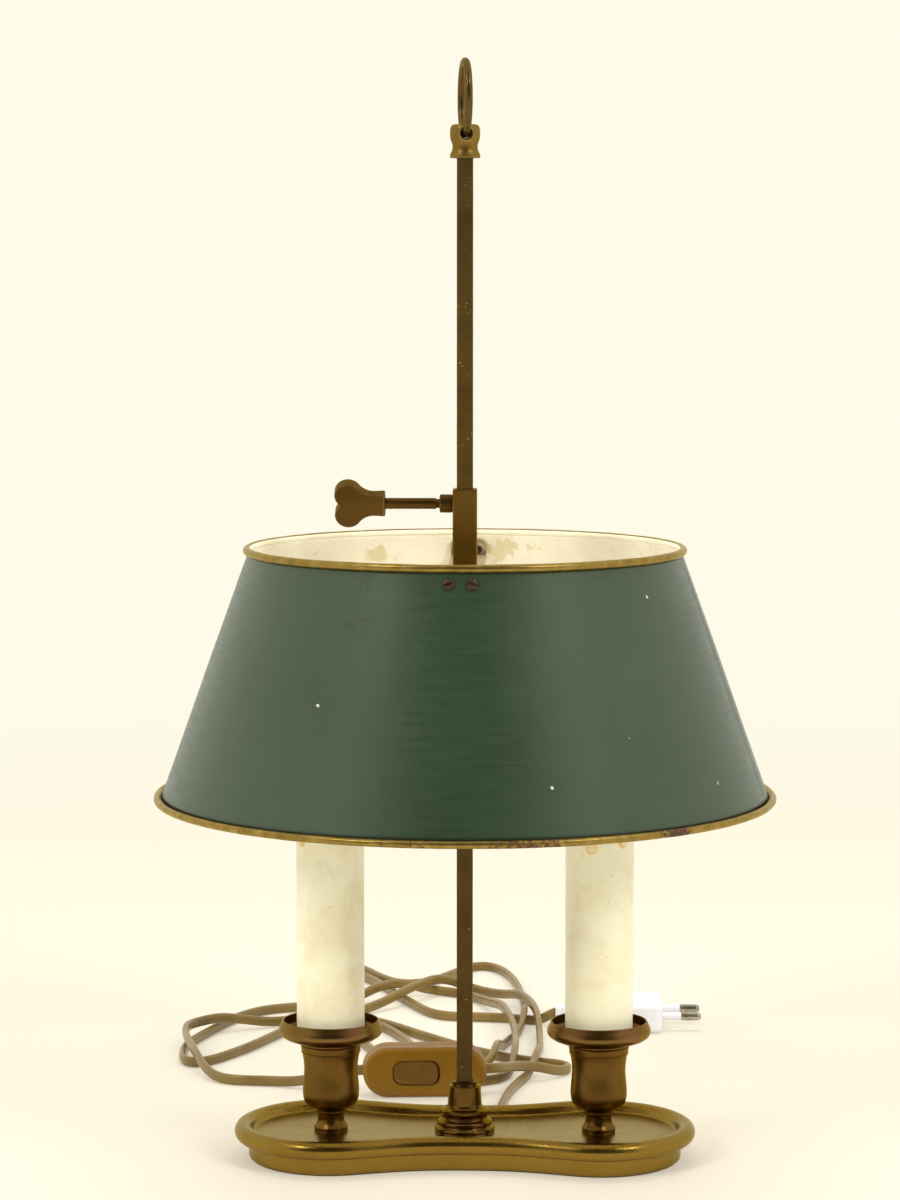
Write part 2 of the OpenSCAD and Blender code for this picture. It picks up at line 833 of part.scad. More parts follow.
module switch_rocker() {
  face = -(sw_half + 1.1);
  color([0.42, 0.28, 0.10])
    on_switch()
      translate([rocker_at, rocker_axis_y, 0])
        rotate([0, 0, -rocker_throw / 2])
          union() {
            intersection() {
              rocker_prism(0, 0, 20);
              translate([-20, face - rocker_axis_y, -10])
                cube([40, 1.5 - face + rocker_axis_y, 20]);
              translate([0, face - rocker_axis_y + 46, -20])
                cylinder(r = 46, h = 40);
            }
            translate([0, 0, -(rocker_h / 2 + 0.4 + lug_h)])
              cylinder(r = pivot_r, h = rocker_h + 0.8 + 2 * lug_h);
          }
}

module switch_screws() {
  color([0.62, 0.60, 0.55])
    on_switch()
      screw_places()
        difference() {
          union() {
            translate([0, 0, -(sw_half - 2.4)])
              cylinder(r = 1.25, h = 2 * sw_half - 3.6);
            translate([0, 0, sw_half - 1.4])
              cylinder(r = 2.2, h = 1.2);
          }
          translate([-3, -0.3, sw_half - 0.7])
            cube([6, 0.6, 3]);
        }
}

// ---------- plug ----------

module plug_body() {
  l = plug_body_length;
  h = plug_w / 2;
  color([0.93, 0.93, 0.91])
    translate([plug_at[0], plug_at[1], plug_half])
      difference() {
        union() {
          intersection() {
            translate([0, 0, -plug_half])
              linear_extrude(2 * plug_half)
                polygon([[0, -h + 3.5], [-4, -h], [-l * 0.42, -h], [-l + 5, -9], [-l, -6.5],
                         [-l, 6.5], [-l + 5, 9], [-l * 0.42, h], [-4, h], [0, h - 3.5]]);
            rotate([90, 0, 0])
              linear_extrude(60, center = true)
                polygon([[0, -plug_half + 0.9], [-1.2, -plug_half], [-l + 4, -plug_half],
                         [-l, -5], [-l, 5], [-l + 4, plug_half], [-1.2, plug_half],
                         [0, plug_half - 0.9]]);
          }
          translate([-l - plug_relief, 0, 0])
            rotate([0, 90, 0])
              cylinder(r1 = 3.6, r2 = 5, h = plug_relief + 1);
        }
        translate([-l - plug_relief - 1, -flex_wide / 2, -flex_high / 2])
          cube([9, flex_wide, flex_high]);
        for (s = [-1, 1])
          translate([-12, s * pin_pitch / 2, 0])
            rotate([0, 90, 0])
              cylinder(r = plug_pin_r + 0.02, h = 20);
      }
}

module plug_pins() {
  color([0.85, 0.80, 0.68])
    for (s = [-1, 1])
      translate([plug_at[0] - 12, plug_at[1] + s * pin_pitch / 2, plug_half])
        rotate([0, 90, 0])
          union() {
            cylinder(r = plug_pin_r, h = 12 + pin_len - plug_pin_r);
            translate([0, 0, 12 + pin_len - plug_pin_r])
              sphere(plug_pin_r);
          }
}

// ---------- shade and carriage ----------

module shade_band(t0, t1, z0, z1) {
  polygon([[cone_r(z0) - t1, z0], [cone_r(z0) - t0, z0], [cone_r(z1) - t0, z1],
           [cone_r(z1) - t1, z1]]);
}

// puts a thing, drawn along +x from the outer face of the sheet, at each of the four screws
module at_shade_screws() {
  for (a = [-90 - screw_turn, -90 + screw_turn, 90 - screw_turn, 90 + screw_turn])
    rotate([0, 0, a])
      translate([cone_r(screw_z), 0, screw_z])
        rotate([0, -cone_deg, 0])
          children();
}

module shade_shell() {
  color([0.26, 0.36, 0.29])
    difference() {
      rotate_extrude()
        shade_band(0, sheet_h, shade_bottom_z, shade_top_z);
      at_shade_screws()
        translate([-6, 0, 0])
          rotate([0, 90, 0])
            cylinder(r = screw_r + hole_gap, h = 12);
    }
}

module shade_top_rim() {
  color([0.69, 0.55, 0.28])
    rotate_extrude()
      difference() {
        translate([shade_top_r - sheet_h / 2, shade_top_z])
          circle(bead_r);
        shade_band(0, sheet_h, shade_top_z - 6, shade_top_z);
      }
}

module shade_bottom_rim() {
  color([0.66, 0.50, 0.26])
    rotate_extrude()
      difference() {
        union() {
          translate([lower_bead_x, shade_bottom_z])
            circle(bead_r);
          translate([shade_bottom_r - sheet_h - 0.5, shade_bottom_z - 1])
            square([bead_r + sheet_h + 0.5, 2]);
        }
        shade_band(0, sheet_h, shade_bottom_z, shade_bottom_z + 6);
        translate([0, shade_bottom_z])
          square([cone_r(shade_bottom_z + 4) - sheet_h, 6]);
      }
}

module shade_bracket() {
  color([0.40, 0.33, 0.20])
    difference() {
      union() {
        intersection() {
          translate([-strip_width / 2, -150, strip_bot])
            cube([strip_width, 300, strip_thick]);
          rotate_extrude()
            polygon([[0, strip_bot], [cone_r(strip_bot) - sheet_h, strip_bot],
                     [cone_r(strip_top) - sheet_h, strip_top], [0, strip_top]]);
        }
        intersection() {
          rotate_extrude()
            shade_band(sheet_h, sheet_h + strip_thick, strip_bot, tab_top);
          translate([-strip_width / 2, -150, strip_bot - 1])
            cube([strip_width, 300, 20]);
        }
      }
      translate([0, 0, strip_bot])
        cube([bore_side, bore_side, 10], center = true);
      at_shade_screws()
        translate([-6, 0, 0])
          rotate([0, 90, 0])
            cylinder(r = screw_r + hole_gap, h = 12);
    }
}

module shade_screws() {
  color([0.45, 0.27, 0.16])
    at_shade_screws()
      rotate([0, 90, 0])
        difference() {
          union() {
            translate([0, 0, -5.2])
              cylinder(r = screw_r, h = 5.4);
            cylinder(r = 2.5, h = 0.7);
            translate([0, 0, 0.7])
              cylinder(r1 = 2.5, r2 = 1.7, h = 0.6);
          }
          translate([0, 0, 0.6])
            rotate([0, 0, 45])
              translate([-3, -0.3, 0])
                cube([6, 0.6, 3]);
        }
}

module shade_nuts() {
  t = shade_sheet + strip_thick * cos(cone_deg) + 0.04;
  color([0.50, 0.44, 0.32])
    at_shade_screws()
      rotate([0, 90, 0])
        translate([0, 0, -t - nut_high])
          difference() {
            rotate([0, 0, 30])
              cylinder(r = nut_r, h = nut_high, $fn = 6);
            translate([0, 0, -1])
              cylinder(r = screw_r + hole_gap, h = 5);
          }
}

module sleeve() {
  color([0.62, 0.47, 0.20])
    difference() {
      translate([-sleeve_side / 2, -sleeve_side / 2, strip_top])
        cube([sleeve_side, sleeve_side, sleeve_length]);
      translate([0, 0, strip_top + sleeve_length / 2])
        cube([bore_side, bore_side, sleeve_length + 4], center = true);
      translate([0, 0, key_z])
        rotate([0, -90, 0])
          cylinder(r = key_bore_r, h = 30);
    }
}

module key_collar() {
  color([0.40, 0.30, 0.15])
    translate([0, 0, key_z])
      rotate([0, -90, 0])
        difference() {
          translate([0, 0, sleeve_side / 2])
            cylinder(r = collar_r, h = collar_end - sleeve_side / 2);
          cylinder(r = key_bore_r, h = 40);
        }
}

module pressure_shoe() {
  color([0.70, 0.56, 0.30])
    translate([0, 0, key_z])
      rotate([0, -90, 0])
        translate([0, 0, shoe_in])
          cylinder(r = shoe_r, h = shoe_out - shoe_in);
}

module key_shaft() {
  color([0.30, 0.23, 0.12])
    translate([0, 0, key_z])
      rotate([0, -90, 0])
        union() {
          translate([0, 0, shoe_out])
            cylinder(r = key_thread_r, h = shoulder - shoe_out + 1);
          translate([0, 0, shoulder])
            cylinder(r = key_shaft_r, h = head_in - shoulder);
        }
}

module key_head() {
  color([0.28, 0.21, 0.11])
    translate([0, 0, key_z])
      rotate([key_roll, 0, 0])
        mirror([1, 0, 0])
          rotate([90, 0, 0])
            linear_extrude(key_head_thick, center = true)
              union() {
                for (s = [-1, 1])
                  translate([heart_lobe_x, s * heart_lobe_z])
                    circle(heart_lobe_r);
                difference() {
                  translate([flank_x, -heart_tan_z])
                    square([heart_lobe_x - flank_x, 2 * heart_tan_z]);
                  for (s = [-1, 1])
                    translate([flank_x, s * flank_z])
                      circle(flank_r);
                }
                translate([head_in, -(flank_z - flank_r)])
                  square([flank_x - head_in + 0.1, 2 * (flank_z - flank_r)]);
              }
}

module left_cup() {
  cup(-1);
}

module right_cup() {
  cup(1);
}

module left_drip_pan() {
  drip_pan(-1);
}

module right_drip_pan() {
  drip_pan(1);
}

module left_stem() {
  stem(-1);
}

module right_stem() {
  stem(1);
}

module left_lampholder() {
  lampholder(-1);
}

module right_lampholder() {
  lampholder(1);
}

module left_candle() {
  candle(-1, left_runs);
}

module right_candle() {
  candle(1, right_runs);
}

module left_bulb_glass() {
  bulb_glass(-1);
}

module right_bulb_glass() {
  bulb_glass(1);
}

module left_bulb_cap() {
  bulb_cap(-1);
}

module right_bulb_cap() {
  bulb_cap(1);
}

felt_pad();
base_tray();
column_boss();
rod();
rod_washer();
rod_nut();
finial();
finial_ring();
left_cup();
right_cup();
left_drip_pan();
right_drip_pan();
left_stem();
right_stem();
stem_nuts();
left_lampholder();
right_lampholder();
left_candle();
right_candle();
left_bulb_glass();
right_bulb_glass();
left_bulb_cap();
right_bulb_cap();
cord_gland();
joint_block();
lamp_leads();
cord_to_switch();
cord_to_plug();
switch_rear_shell();
switch_front_shell();
switch_rocker();
switch_screws();
plug_body();
plug_pins();
sleeve();
key_collar();
shade_bracket();
shade_shell();
shade_top_rim();
shade_bottom_rim();
shade_screws();
shade_nuts();
pressure_shoe();
key_shaft();
key_head();
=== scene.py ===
# Looks of the bouillotte lamp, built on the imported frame. Metres outside, millimetres inside the shape helpers.
import bpy
import bmesh
import json
import math
import numpy as np
from mathutils import Matrix, Vector, noise

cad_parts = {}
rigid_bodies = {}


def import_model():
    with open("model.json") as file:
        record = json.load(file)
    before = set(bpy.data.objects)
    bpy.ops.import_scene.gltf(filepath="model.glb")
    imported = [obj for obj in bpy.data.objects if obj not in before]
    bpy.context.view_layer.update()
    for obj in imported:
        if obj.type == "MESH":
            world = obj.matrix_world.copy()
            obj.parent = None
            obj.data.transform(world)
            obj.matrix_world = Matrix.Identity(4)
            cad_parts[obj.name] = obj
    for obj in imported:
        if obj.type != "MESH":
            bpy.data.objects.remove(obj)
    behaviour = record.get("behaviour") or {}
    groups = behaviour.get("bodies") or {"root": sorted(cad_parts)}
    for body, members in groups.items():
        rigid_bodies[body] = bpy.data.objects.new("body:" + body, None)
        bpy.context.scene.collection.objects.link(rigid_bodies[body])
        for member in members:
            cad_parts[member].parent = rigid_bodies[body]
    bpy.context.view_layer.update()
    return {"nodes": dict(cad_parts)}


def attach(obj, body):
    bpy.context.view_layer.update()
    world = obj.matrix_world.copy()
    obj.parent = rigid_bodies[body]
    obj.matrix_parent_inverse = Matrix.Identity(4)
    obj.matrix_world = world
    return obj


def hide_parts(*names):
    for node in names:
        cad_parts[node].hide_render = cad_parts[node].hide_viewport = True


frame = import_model()
MM = 0.001
TAU = 2 * math.pi
scene = bpy.context.scene

# ------------------------------------------------------------------ camera
cam_data = bpy.data.cameras.new("camera")
cam_data.sensor_fit = "VERTICAL"
cam_data.sensor_height = 36.0
cam_data.lens = 112.35
cam_data.clip_end = 50
cam = bpy.data.objects.new("camera", cam_data)
cam.location = (0.0285, -1.5249, 0.383)
cam.rotation_euler = (math.radians(90 - 5.65), 0, math.radians(1.3))
scene.collection.objects.link(cam)
scene.camera = cam
scene.view_settings.view_transform = "Standard"

# ------------------------------------------------------------------ dimensions, millimetres
C = 55.5  # from the column to a cup
LOBE = 40.0  # radius of the tray's round ends
WAIST = 31.0  # half its depth at the waist
RC = (C * C + WAIST * WAIST - LOBE * LOBE) / (2 * (LOBE - WAIST))  # radius of the waist's hollow
YC = WAIST + RC
ROD_TOP = 411.7
HOLE_Z = 421.5  # hole in the finial
RING_R = 14.5
RING_YAW = 7.0  # degrees by which finial and ring are turned on the rod
SH_RB, SH_RT, SH_ZB, SH_H = 124.6, 88.3, 151.5, 101.4  # shade: lower and upper radius, foot, height
SH_ZT = SH_ZB + SH_H
FALL = (SH_RB - SH_RT) / SH_H
SHEET = 0.85  # thickness of the shade
SEAM = -8.0  # degrees, where the shade's sheet laps
STRIP_TOP = 243.4
KEY_Z = 271.7
SW_AT = (-20, 112, 11.2)  # hand switch: middle, turn, end radius, half length between the ends, half depth
SW_YAW = 4.0
SW_R = 11.2
SW_C = 55 / 2 - SW_R
SW_HALF = 8.0
PIVOT_Y = -(SW_HALF - 3.4)
ROCKER_X = -4.0
PX, PY, PH = 90.0, 257.0, 6.85  # middle of the plug's face


def cone_r(z):
    """outer radius of the shade at a height"""
    return SH_RB - (z - SH_ZB) * FALL


# ------------------------------------------------------------------ shape helpers
def add_mesh(name, verts, faces, scale=MM):
    me = bpy.data.meshes.new(name)
    me.from_pydata([tuple(c * scale for c in v) for v in verts], [], faces)
    me.update()
    me.polygons.foreach_set("use_smooth", [True] * len(me.polygons))
    return add_object(name, me)


def add_object(name, data):
    ob = bpy.data.objects.new(name, data)
    scene.collection.objects.link(ob)
    return ob


def fillet(pts, n=5, closed=False):
    """points (a, b[, radius]) with their corners rounded"""
    out = []
    m = len(pts)
    for i, p in enumerate(pts):
        if len(p) < 3 or p[2] <= 0 or (not closed and i in (0, m - 1)):
            out.append((p[0], p[1]))
            continue
        a, b, c = (np.array(q[:2], float) for q in (pts[i - 1], p, pts[(i + 1) % m]))
        u, v = a - b, c - b
        lu, lv = np.linalg.norm(u), np.linalg.norm(v)
        u, v = u / lu, v / lv
        ang = math.acos(max(-1, min(1, float(u @ v))))
        if ang > 3.1 or ang < 0.02:
            out.append((p[0], p[1]))
            continue
        d = min(p[2] / math.tan(ang / 2), 0.48 * lu, 0.48 * lv)
        rad = d * math.tan(ang / 2)
        w = u + v
        cen = b + w / np.linalg.norm(w) * rad / math.sin(ang / 2)
        p0, p1 = b + u * d - cen, b + v * d - cen
        sweep = math.pi - ang
        for k in range(n + 1):
            t = k / n
            q = (math.sin((1 - t) * sweep) * p0 + math.sin(t * sweep) * p1) / math.sin(sweep)
            out.append((float(cen[0] + q[0]), float(cen[1] + q[1])))
    return out


def spline(pts, n=6):
    """a smooth line through points of any size"""
    p = [np.array(q, float) for q in pts]
    p = [2 * p[0] - p[1]] + p + [2 * p[-1] - p[-2]]
    out = []
    for i in range(1, len(p) - 2):
        a, b, c, d = p[i - 1: i + 3]
        for k in range(n):
            t = k / n
            out.append(0.5 * (2 * b + (c - a) * t + (2 * a - 5 * b + 4 * c - d) * t * t
                              + (3 * b - 3 * c + d - a) * t ** 3))
    out.append(p[-2])
    return [tuple(float(x) for x in q) for q in out]


def arc(cx, cy, r, a0, a1, n=8):
    return [(cx + r * math.cos(math.radians(a0 + (a1 - a0) * k / n)),
             cy + r * math.sin(math.radians(a0 + (a1 - a0) * k / n))) for k in range(n + 1)]


def outward(ob):
    """turns every face to look outward"""
    bm = bmesh.new()
    bm.from_mesh(ob.data)
    bmesh.ops.recalc_face_normals(bm, faces=bm.faces)
    bm.to_mesh(ob.data)
    bm.free()
    return ob


def loft(name, rings, closed=False):
    """rings of points in millimetres, each the same length, joined one to the next"""
    n, m = len(rings[0]), len(rings)
    faces = []
    for i in range(m if closed else m - 1):
        a, b = i * n, ((i + 1) % m) * n
        for k in range(n):
            kk = (k + 1) % n
            faces.append((a + k, a + kk, b + kk, b + k))
    if not closed:
        faces.append(tuple(range(n - 1, -1, -1)))
        faces.append(tuple(range((m - 1) * n, m * n)))
    return outward(add_mesh(name, [p for r in rings for p in r], faces))


def ring_of(segs, rz, cx=0.0):
    """one turn of points about the upright line at cx; rz gives radius and height for an angle"""
    out = []
    for k in range(segs):
        a = TAU * k / segs
        r, z = rz(a)
        out.append((cx + r * math.cos(a), r * math.sin(a), z))
    return out


def level(segs, r, z, cx=0.0):
    return ring_of(segs, lambda a: (r, z), cx)


def revolve(name, prof, segs=96, cx=0.0, closed=False):
    """a profile of (radius, height) turned about the line at cx; closed joins its end to its start"""
    verts, faces, rows = [], [], []
    for r, z in prof:
        row = [(cx, 0, z)] if r < 1e-6 else level(segs, r, z, cx)
        rows.append(range(len(verts), len(verts) + len(row)))
        verts += row
    m = len(rows)
    for i in range(m if closed else m - 1):
        a, b = rows[i], rows[(i + 1) % m]
        for k in range(segs):
            kk = (k + 1) % segs
            if len(a) > 1 and len(b) > 1:
                faces.append((a[k], a[kk], b[kk], b[k]))
            elif len(b) > 1:
                faces.append((a[0], b[kk], b[k]))
            elif len(a) > 1:
                faces.append((a[k], a[kk], b[0]))
    return outward(add_mesh(name, verts, faces))


def move(ob, m):
    """moves the mesh itself"""
    ob.data.transform(m)
    ob.data.update()
    return ob


def shift(x, y, z):
    """a move in millimetres"""
    return Matrix.Translation((x * MM, y * MM, z * MM))


def turn(degrees, axis):
    return Matrix.Rotation(math.radians(degrees), 4, axis)


def box(w, d, h, z):
    """a block on the column, its middle at z, in millimetres"""
    bpy.ops.mesh.primitive_cube_add(size=1)
    return move(bpy.context.object, shift(0, 0, z) @ Matrix.Diagonal((w * MM, d * MM, h * MM, 1)))


def rounded(hx, hy, rad, n=4):
    """a rounded rectangle, anticlockwise"""
    out = []
    for cx, cy, a in ((hx - rad, hy - rad, 0), (-hx + rad, hy - rad, 90),
                      (-hx + rad, -hy + rad, 180), (hx - rad, -hy + rad, 270)):
        out += arc(cx, cy, rad, a, a + 90, n)
    return out


def join(name, obs):
    """several meshes as one object, each face with its own material"""
    bm = bmesh.new()
    mats = []
    for o in obs:
        first = len(bm.faces)
        bm.from_mesh(o.data)
        bm.faces.ensure_lookup_table()
        mats += [m for m in o.data.materials if m not in mats]
        for f in bm.faces[first:]:
            if o.data.materials:
                f.material_index = mats.index(o.data.materials[f.material_index])
        bpy.data.objects.remove(o)
    me = bpy.data.meshes.new(name)
    bm.to_mesh(me)
    bm.free()
    for m in mats:
        me.materials.append(m)
    return add_object(name, me)


def bake(ob):
    """applies the modifiers and drops them"""
    me = bpy.data.meshes.new_from_object(ob.evaluated_get(bpy.context.evaluated_depsgraph_get()))
    ob.modifiers.clear()
    ob.data = me
    return ob


def cut(ob, tool):
    md = ob.modifiers.new("cut", "BOOLEAN")
    md.operation = "DIFFERENCE"
    md.solver = "EXACT"
    md.object = tool
    bake(ob)
    bpy.data.objects.remove(tool)
    return ob


def soften(ob, width, angle, segments):
    """bevels the edges sharper than the angle"""
    md = ob.modifiers.new("edge", "BEVEL")
    md.width = width * MM
    md.segments = segments
    md.limit_method = "ANGLE"
    md.angle_limit = math.radians(angle)
    return shade(bake(ob))


def shade(ob, angle=30):
    """smooth shading that breaks at edges sharper than the angle"""
    me = ob.data
    me.polygons.foreach_set("use_smooth", [True] * len(me.polygons))
    bm = bmesh.new()
    bm.from_mesh(me)
    lim = math.radians(angle)
    for e in bm.edges:
        e.smooth = not (len(e.link_faces) == 2 and e.calc_face_angle(0) > lim)
    bm.to_mesh(me)
    bm.free()
    return ob


def weigh(ob):
    md = ob.modifiers.new("weighted", "WEIGHTED_NORMAL")
    md.keep_sharp = True
    md.weight = 60
    return ob


def wobble(ob, amount, scale, seed=0.0):
    """tiny unevenness of a handmade surface, millimetres"""
    for v in ob.data.vertices:
        p = v.co * 1000 / scale + Vector((seed, seed * 0.7, -seed))
        n = Vector([noise.noise(p + Vector((0, 0, far))) for far in (9.3, 31.7, 57.1)])
        v.co += n * amount * MM
    ob.data.update()
    return ob


# ------------------------------------------------------------------ node helpers
class Graph:
    """a short way to write a node tree"""

    def __init__(self, tree):
        self.t = tree

    def feed(self, n, **links):
        """values or links for a node's inputs, called by name or as i0, i1 and so on"""
        for k, v in links.items():
            s = n.inputs[int(k[1:]) if k[0] == "i" and k[1:].isdigit() else k.replace("_", " ")]
            if isinstance(v, bpy.types.NodeSocket):
                self.t.links.new(v, s)
            elif v is not None:
                s.default_value = v
        return n

    def node(self, kind, attrs=None, **links):
        n = self.t.nodes.new(kind)
        for k, v in (attrs or {}).items():
            setattr(n, k, v)
        return self.feed(n, **links)

    def wire(self, kind, attrs=None, **links):
        """the first output of a new node"""
        return self.node(kind, attrs, **links).outputs[0]

    def math(self, op, a, b=None):
        return self.wire("ShaderNodeMath", {"operation": op}, i0=a, i1=b)

    def add(self, a, b):
        return self.math("ADD", a, b)

    def sub(self, a, b):
        return self.math("SUBTRACT", a, b)

    def mul(self, a, b):
        return self.math("MULTIPLY", a, b)

    def most(self, a, b):
        return self.math("MAXIMUM", a, b)

    def under(self, a, b):
        return self.math("LESS_THAN", a, b)

    def over(self, a, b):
        return self.math("GREATER_THAN", a, b)

    def gap(self, a, b):
        """the size of a difference"""
        return self.math("ABSOLUTE", self.sub(a, b))

    def reach(self, a, b):
        """distance from the middle in a plane"""
        return self.math("SQRT", self.add(self.mul(a, a), self.mul(b, b)))

    def span(self, v, a0, a1, b0=0.0, b1=1.0):
        """a soft step from b0 to b1 as the value goes from a0 to a1"""
        soft = {"interpolation_type": "SMOOTHSTEP"}
        return self.wire("ShaderNodeMapRange", soft, i0=v, i1=a0, i2=a1, i3=b0, i4=b1)


class Tree(Graph):
    """a geometry node tree with named inputs"""

    def __init__(self, name, **inputs):
        super().__init__(bpy.data.node_groups.new(name, "GeometryNodeTree"))
        socket = self.t.interface.new_socket
        socket("Geometry", in_out="INPUT", socket_type="NodeSocketGeometry")
        self.ids = {key: socket(key, in_out="INPUT", socket_type="NodeSocket" + kind).identifier
                    for key, kind in inputs.items()}
        socket("Geometry", in_out="OUTPUT", socket_type="NodeSocketGeometry")
        self.given = self.node("NodeGroupInput").outputs
        self.end = self.node("NodeGroupOutput").inputs[0]

    def xyz(self, x, y, z):
        return self.wire("ShaderNodeCombineXYZ", X=x, Y=y, Z=z)

    def vector(self, op, **links):
        return self.wire("ShaderNodeVectorMath", {"operation": op}, **links)

    def moved(self, geo, **links):
        return self.wire("GeometryNodeSetPosition", Geometry=geo, **links)

    def circle(self, points, radius):
        return self.wire("GeometryNodeCurvePrimitiveCircle", Resolution=points, Radius=radius)

    def close(self, geo):
        whole = self.wire("GeometryNodeRealizeInstances", i0=geo)
        made = self.wire("GeometryNodeSetMaterial", Geometry=whole, Material=self.given["finish"])
        self.t.links.new(made, self.end)
        return self


def grow(ob, tree, **values):
    """runs a tree on an object and keeps the result as a plain mesh"""
    md = ob.modifiers.new("tree", "NODES")
    md.node_group = tree.t
    for k, v in values.items():
        md[tree.ids[k]] = v
    ob.update_tag()
    return bake(ob)


class Look(Graph):
    """the node tree of a new material, round its main shader"""

    def __init__(self, name):
        self.mat = bpy.data.materials.new(name)
        self.mat.use_nodes = True
        super().__init__(self.mat.node_tree)
        self.t.nodes.clear()
        self.bsdf = self.node("ShaderNodeBsdfPrincipled")
        self.end = self.node("ShaderNodeOutputMaterial", i0=self.bsdf.outputs[0]).inputs[0]
        self.place = self.node("ShaderNodeTexCoord").outputs["Object"]

    def set(self, **values):
        self.feed(self.bsdf, **values)

    def obj(self, scale=(1, 1, 1), loc=(0, 0, 0)):
        return self.wire("ShaderNodeMapping", Vector=self.place, Scale=scale, Location=loc)

    def noise(self, scale, detail=4, rough=0.55, vec=None, distort=0.0):
        return self.node("ShaderNodeTexNoise", Scale=scale, Detail=detail, Roughness=rough, Distortion=distort,
                         Vector=self.place if vec is None else vec).outputs["Fac"]

    def voronoi(self, scale, vec=None):
        return self.node("ShaderNodeTexVoronoi", Scale=scale,
                         Vector=self.place if vec is None else vec).outputs["Distance"]

    def ramp(self, fac, stops):
        r = self.node("ShaderNodeValToRGB", i0=fac)
        e = r.color_ramp.elements
        while len(e) > 1:
            e.remove(e[-1])
        e[0].position = stops[0][0]
        e[0].color = rgba(stops[0][1])
        for pos, col in stops[1:]:
            e.new(pos).color = rgba(col)
        return r.outputs[0]

    def mix(self, fac, a, b):
        return self.node("ShaderNodeMix", {"data_type": "RGBA"}, i0=fac, i6=rgba(a), i7=rgba(b)).outputs[2]

    def glaze(self, col, fac, share, *screen):
        """a screen colour over a colour, as far as a mask and a share let it"""
        return self.mix(self.mul(fac, share), col, rgb(*screen))

    def xyz(self):
        return self.node("ShaderNodeSeparateXYZ", i0=self.place).outputs

    def bump(self, height, strength, dist):
        b = self.wire("ShaderNodeBump", Strength=strength, Distance=dist, Height=height)
        self.set(Normal=b)


def rgb(r, g, b, gain=1.0):
    """an 8-bit screen colour as linear light"""
    light = [x / 12.92 if x <= 0.04045 else ((x + 0.055) / 1.055) ** 2.4 for x in (r / 255, g / 255, b / 255)]
    return tuple(min(1.0, gain * x) for x in light)


def rgba(c):
    return (*c, 1) if isinstance(c, tuple) and len(c) == 3 else c


# ------------------------------------------------------------------ materials
def old_brass(name, mid, dark, light, rough=0.36, edge_wear_and_glint=0.5, fleck=None, fleck_size=0.10, tint=None, painted_shade_bands=(),
              fine=0.10, edge_tint=(0.86, 0.78, 0.52), bore=False):
    """browned brass: cloudy patina, rubbed edges lightened past the metal as a painted highlight, fine handling
    marks, optional specks and bands of painted shade
    """
    n = Look(name)
    x, y, z = n.xyz()
    fac = n.add(n.mul(n.noise(45, 5, 0.6), 0.75), n.mul(n.noise(420, 6, 0.65), 0.25))
    col = n.ramp(fac, [(0.26, rgb(*dark)), (0.50, rgb(*mid)), (0.74, rgb(*light))])
    if tint:
        col = n.glaze(col, n.span(n.noise(70, 4, 0.6, vec=n.obj((1, 1, 1), (2, 5, 1))), 0.43, 0.59), 0.8, *tint)
    # bands of painted shade: darker between two heights, softened at both ends
    for lo, hi, soft, depth in painted_shade_bands:
        line = n.mul(n.span(z, lo - soft, lo), n.span(z, hi, hi + soft, 1.0, 0.0))
        col = n.glaze(col, line, depth, 30, 20, 10)
    # rubbed edges: partly real wear, partly a painted highlight, lightened past the metal's own tone
    rubbed_edge_glint = n.span(n.node("ShaderNodeNewGeometry").outputs["Pointiness"], 0.51, 0.58)
    col = n.mix(n.mul(rubbed_edge_glint, edge_wear_and_glint), col, tuple(min(1, v * 1.7 + 0.02) for v in rgb(*light)))
    if fleck:
        spots = n.mul(n.under(n.voronoi(520), fleck_size), n.over(n.noise(90, 2), 0.56))
        col = n.mix(spots, col, rgb(*fleck))
    r = n.span(n.noise(120, 4, 0.55), 0.3, 0.7, rough - 0.01 - fine * 0.5, rough + 0.02 + fine * 0.7)
    metal = 1.0
    if bore:
        # dull, dusty brass inside the hole the ring hangs in
        away = n.reach(n.sub(z, HOLE_Z * MM), n.add(x, n.mul(y, 0.123)))
        inside = n.span(away, 0.0026, 0.0030, 1.0, 0.0)
        col = n.mix(inside, col, rgb(112, 86, 46))
        metal = n.sub(1.0, n.mul(inside, 0.8))
        r = n.add(r, n.mul(inside, 0.25))
    n.set(Base_Color=col, Metallic=metal, Roughness=r, Specular_Tint=rgba(edge_tint))
    n.bump(n.noise(900, 4, 0.55), fine, 0.0001)
    return n.mat


# painted shade: the rod is darkened from its foot up to about the lampshade's lower rim
BR_ROD = old_brass("brass_rod", (106, 83, 45), (86, 65, 34), (122, 97, 55), fleck=(205, 185, 150),
                   fleck_size=0.13,
                   painted_shade_bands=((-0.01, 0.120, 0.06, 0.45),))
BR_CUP = old_brass("brass_cup", (108, 80, 36), (95, 69, 30), (118, 90, 43), 0.31, 0.6, (225, 215, 190), 0.05,
                   fine=0.05, edge_tint=(0.80, 0.72, 0.46))
# painted shade in the step where the rod goes into the boss
BR_BOSS = old_brass("brass_boss", (106, 80, 40), (88, 64, 31), (122, 94, 50), 0.22, 0.7, fine=0.03,
                    edge_tint=(0.80, 0.70, 0.40), painted_shade_bands=((0.0310, 0.0330, 0.0002, 0.75),))
